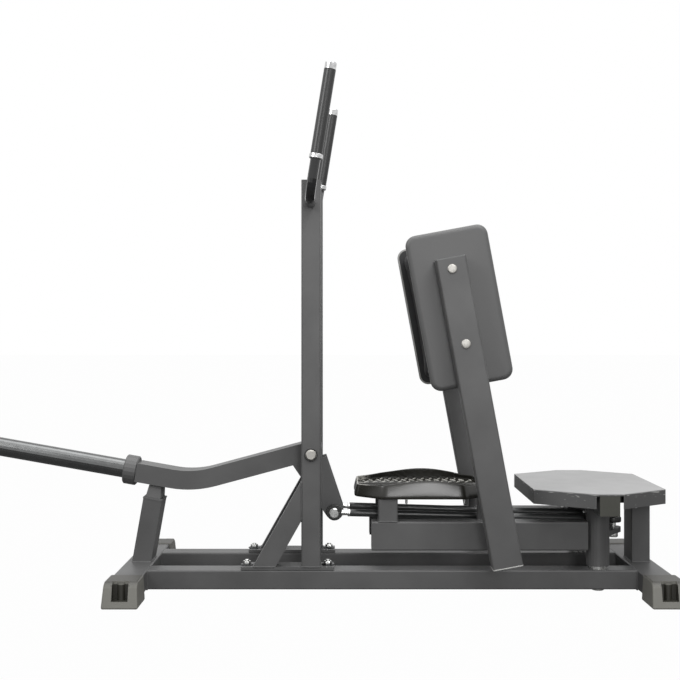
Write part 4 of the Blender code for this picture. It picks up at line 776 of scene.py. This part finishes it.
for side, sign in sides.items():
    low, high = [np.array(corner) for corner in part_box(side + "_rod_ball")]
    front = (low + high) / 2
    rear = np.array(rod["rear"]) * (1, sign, 1)
    length = np.linalg.norm(rear - front)
    along = (rear - front) / length
    level = np.cross((0, 0, 1), along)
    level /= np.linalg.norm(level)
    body = side + "_rod"
    grids = [turnedTo(turned(rod["eye"], rod["eyeSteps"]), place, axis)
             for place, axis in ((front, level), (rear, np.cross(along, level)))]
    mesh = surface(side + "RodEyes", grids)
    addPiece(side + "RodEyes", mesh, finish["plastic"], body, [side + "_push_rod"])
    grids = [turnedTo(turned(rod["shank"]), place, axis) for place, axis in ((front, along), (rear, -along))]
    addPiece(side + "RodShanks", surface(side + "RodShanks", grids), finish["zinc"], body)
    start, end, radius = rod["start"], length - rod["start"], rod["radius"]
    tube = [(0, start, 0)] + [(radius - cut, start + back, 0) for cut, back in rod["rounding"]]
    tube += [(radius, spot, 0) for spot in np.linspace(start + rod["plain"], end - rod["plain"], rod["rings"])]
    tube += [(radius - cut, end - back, 0) for cut, back in reversed(rod["rounding"])] + [(0, end, 0)]
    grid = turnedTo(turned(tube), front, along)
    addPiece(side + "RodTube", surface(side + "RodTube", [grid]), finish["rod"], body)
print("made the push rods")


# Pad post caps: a dark one on the slanting top and a pale one under the foot, a painted highlight

postCap = {"size": (0.0756, 0.0506), "corner": 0.0046, "spacing": 0.002, "y": 0.2291, "top": (0.3398, 0.8535),
           "length": 0.7743,
           "rings": [(0.0004, -0.0006), (0, 0), (0, 0.0017), (0.0005, 0.0026), (0.0016, 0.0030)]}
loop = roundedLoop(*postCap["size"], postCap["corner"], postCap["spacing"])
for side, sign in sides.items():
    top = np.array([postCap["top"][0], sign * postCap["y"], postCap["top"][1]])
    foot = top - postCap["length"] * padAlong
    for name, place, out, material in (("PostTopCap", top, padAlong, "cap"),
                                       ("PostFootCap", foot, -padAlong, "pale")):
        mesh = surface(side + name, [pressed(loop, postCap["rings"], place, padAcross, (0, 1, 0), out)])
        addPiece(side + name, mesh, finish[material], side + "_swing")


# Weld beads: ropes along the joints, radius r * (1 + d * sin(2 pi s / pitch)), tapering at open ends

weld = {"radius": 0.0021, "pitch": 0.0032, "depth": 0.10, "spacing": 0.0011, "corner": 0.004, "least": 0.0001,
        "taper": 4}
axisX, axisY, axisZ = np.eye(3)


def addWelds(name, body, loops, runs):
    grids = []
    for centre, width, height, across, upward in loops:
        corner = min(weld["corner"], width / 2 - weld["least"])
        flat = roundedLoop(width, height, corner, weld["spacing"])
        path = np.array(centre) + flat[:, :1] * across + flat[:, 1:] * upward
        ripple = np.sin(2 * np.pi * np.arange(len(path)) * weld["spacing"] / weld["pitch"])
        grids.append(rope(path, weld["radius"] * (1 + weld["depth"] * ripple), np.cross(across, upward)))
    for corners, normal in runs:
        path = evenly(corners, weld["spacing"], loop=False)
        count = np.arange(len(path))
        ripple = np.sin(2 * np.pi * count * weld["spacing"] / weld["pitch"])
        taper = np.sqrt(np.clip(np.minimum(count, count[::-1]) / weld["taper"], 0, 1))
        grids.append(rope(path, weld["radius"] * taper * (1 + weld["depth"] * ripple), normal, loop=False))
    addPiece(name, surface(name, grids), finish["paint"], body)


# A loop goes round a tube's end: middle, width, height and their directions. A run follows corners, with a
# normal. In the frame: feet of the stop post, step, uprights and braces, the braces' tops, and the rails' ends
loops = [((-0.4641, 0, 0.0602), 0.0508, 0.075, axisX, axisY), ((0.8685, 0, 0.0602), 0.050, 0.078, axisX, axisY)]
runs = []
for sign in sides.values():
    loops += [((-0.0085, sign * 0.114, 0.0684), 0.050, 0.050, axisX, axisY),
              ((-0.1288, sign * 0.114, 0.0684), 0.0574, 0.050, axisX, axisY),
              ((-0.0336, sign * 0.114, 0.2365), 0.050, 0.1015, axisY, axisZ)]
    near, far = sign * 0.139, sign * 0.079
    for x in (-0.4305, 0.8309):
        runs.append(([(x, near, 0.0590), (x, near, 0.0103), (x, far, 0.0103), (x, far, 0.0590)], axisX))
addWelds("frameWelds", "frame", loops, runs)
for side, sign in sides.items():  # the stub tube's ends, the pedal posts' feet and the arm on its pivot sleeve
    loops = [((0.480, sign * 0.1341, 0.1465), 0.050, 0.050, axisX, axisZ),
             ((0.480, sign * 0.2040, 0.1465), 0.050, 0.050, axisX, axisZ),
             ((0.1902, sign * 0.109, 0.1842), 0.050, 0.050, axisX, axisY),
             ((0.4343, sign * 0.096, 0.1842), 0.020, 0.024, axisX, axisY)]
    runs = [([(0.7074, sign * y, 0.1105), (0.7074, sign * y, 0.1825)], axisX) for y in (0.0985, 0.1195)]
    addWelds(side + "SwingWelds", side + "_swing", loops, runs)
print("welded the joints")


# Floor, light and camera: the camera sees both the floor and the sky as plain white

studio = {"reach": 40, "drop": -0.0005, "grey": "#484848", "roughness": 0.9, "seenWhite": 0.985,
          "mirroredWhite": 0.10, "skyStrength": 0.35, "white": (1, 1, 1, 1)}


def addStage():  # a grey sheet that lights the part a little from below, almost white where it is seen
    size = studio["reach"]
    floor = bpy.data.meshes.new("studioFloor")
    corners = [(-size, -size, 0), (size, -size, 0), (size, size, 0), (-size, size, 0)]
    floor.from_pydata(corners, [], [(0, 1, 2, 3)])
    sheet = bpy.data.objects.new("studioFloor", floor)
    bpy.context.scene.collection.objects.link(sheet)
    sheet.location.z = studio["drop"]
    material, tree, shader = newMaterial("paleStudioFloor", Base_Color=hexColour(studio["grey"]),
                                         Roughness=studio["roughness"])
    seen = addNode(tree, "LightPath")
    clear = addNode(tree, "Math", {0: seen.outputs["Is Camera Ray"], 1: seen.outputs["Is Transmission Ray"]},
                    operation="MAXIMUM")
    glossy = addNode(tree, "Math", {0: seen.outputs["Is Glossy Ray"], 1: studio["mirroredWhite"]},
                     operation="MULTIPLY")
    share = addNode(tree, "Math", {0: clear.outputs[0], 1: studio["seenWhite"], 2: glossy.outputs[0]},
                    operation="MULTIPLY_ADD")
    white = addNode(tree, "Emission", {"Color": studio["white"], "Strength": 1.0})
    blend = addNode(tree, "MixShader", {0: share.outputs[0], 1: shader.outputs[0], 2: white.outputs[0]})
    tree.links.new(blend.outputs[0], tree.nodes["Material Output"].inputs["Surface"])
    floor.materials.append(material)


def addSky():  # soft grey for the object, plain white for the camera and in reflections
    world = bpy.data.worlds.new("softStudio")
    bpy.context.scene.world = world
    world.use_nodes = True
    tree = world.node_tree
    tree.nodes.clear()
    path = addNode(tree, "LightPath")
    clear = addNode(tree, "Math", {0: path.outputs["Is Camera Ray"], 1: path.outputs["Is Transmission Ray"]},
                    operation="MAXIMUM")
    seen = addNode(tree, "Math", {0: clear.outputs[0], 1: path.outputs["Is Glossy Ray"]}, operation="MAXIMUM")
    soft = addNode(tree, "Background", {"Color": studio["white"], "Strength": studio["skyStrength"]})
    white = addNode(tree, "Background", {"Color": studio["white"], "Strength": 1.0})
    blend = addNode(tree, "MixShader", {0: seen.outputs[0], 1: soft.outputs[0], 2: white.outputs[0]})
    output = addNode(tree, "OutputWorld")
    tree.links.new(blend.outputs[0], output.inputs["Surface"])


def addLamp(name, place, target, size, power):
    lamp = bpy.data.lights.new(name, "AREA")
    lamp.shape = "RECTANGLE"
    lamp.size, lamp.size_y = size
    lamp.energy = power
    holder = bpy.data.objects.new(name, lamp)
    bpy.context.scene.collection.objects.link(holder)
    holder.location = place
    holder.rotation_euler = (Vector(target) - Vector(place)).to_track_quat("-Z", "Y").to_euler()


def addCamera():  # level view from the left side, as the photograph was taken
    view = {"place": (0.0765, -2.8, 0.655), "sensor": 36, "lens": 54.78, "shift": (-0.0059, -0.0015)}
    camera = bpy.data.cameras.new("sideView")
    camera.sensor_width = view["sensor"]
    camera.lens = view["lens"]
    camera.shift_x, camera.shift_y = view["shift"]
    holder = bpy.data.objects.new("sideView", camera)
    holder.location = view["place"]
    holder.rotation_euler = (math.radians(90), 0, 0)
    bpy.context.scene.collection.objects.link(holder)
    bpy.context.scene.camera = holder


addStage()
addSky()
lamps = {  # place, what it faces, size in metres and power in watts
    "overheadSoftbox": ((0.1, -0.1, 3.2), (0.1, 0, 0.2), (3.0, 2.2), 57),
    "keySoftbox": ((1.3, -2.1, 3.0), (0.1, 0, 1.3), (1.6, 1.2), 44),
    "lowStrip": ((0.58, -3.6, 0.95), (0.30, 0, 0.26), (0.55, 0.85), 24),
    "leftFill": ((-2.1, -2.0, 2.3), (0.2, 0, 1.2), (1.2, 1.2), 31),
}
for name, (place, target, size, power) in lamps.items():
    addLamp(name, place, target, size, power)
addCamera()
bpy.context.scene.view_settings.view_transform = "Standard"
print("set the floor, lights and camera")
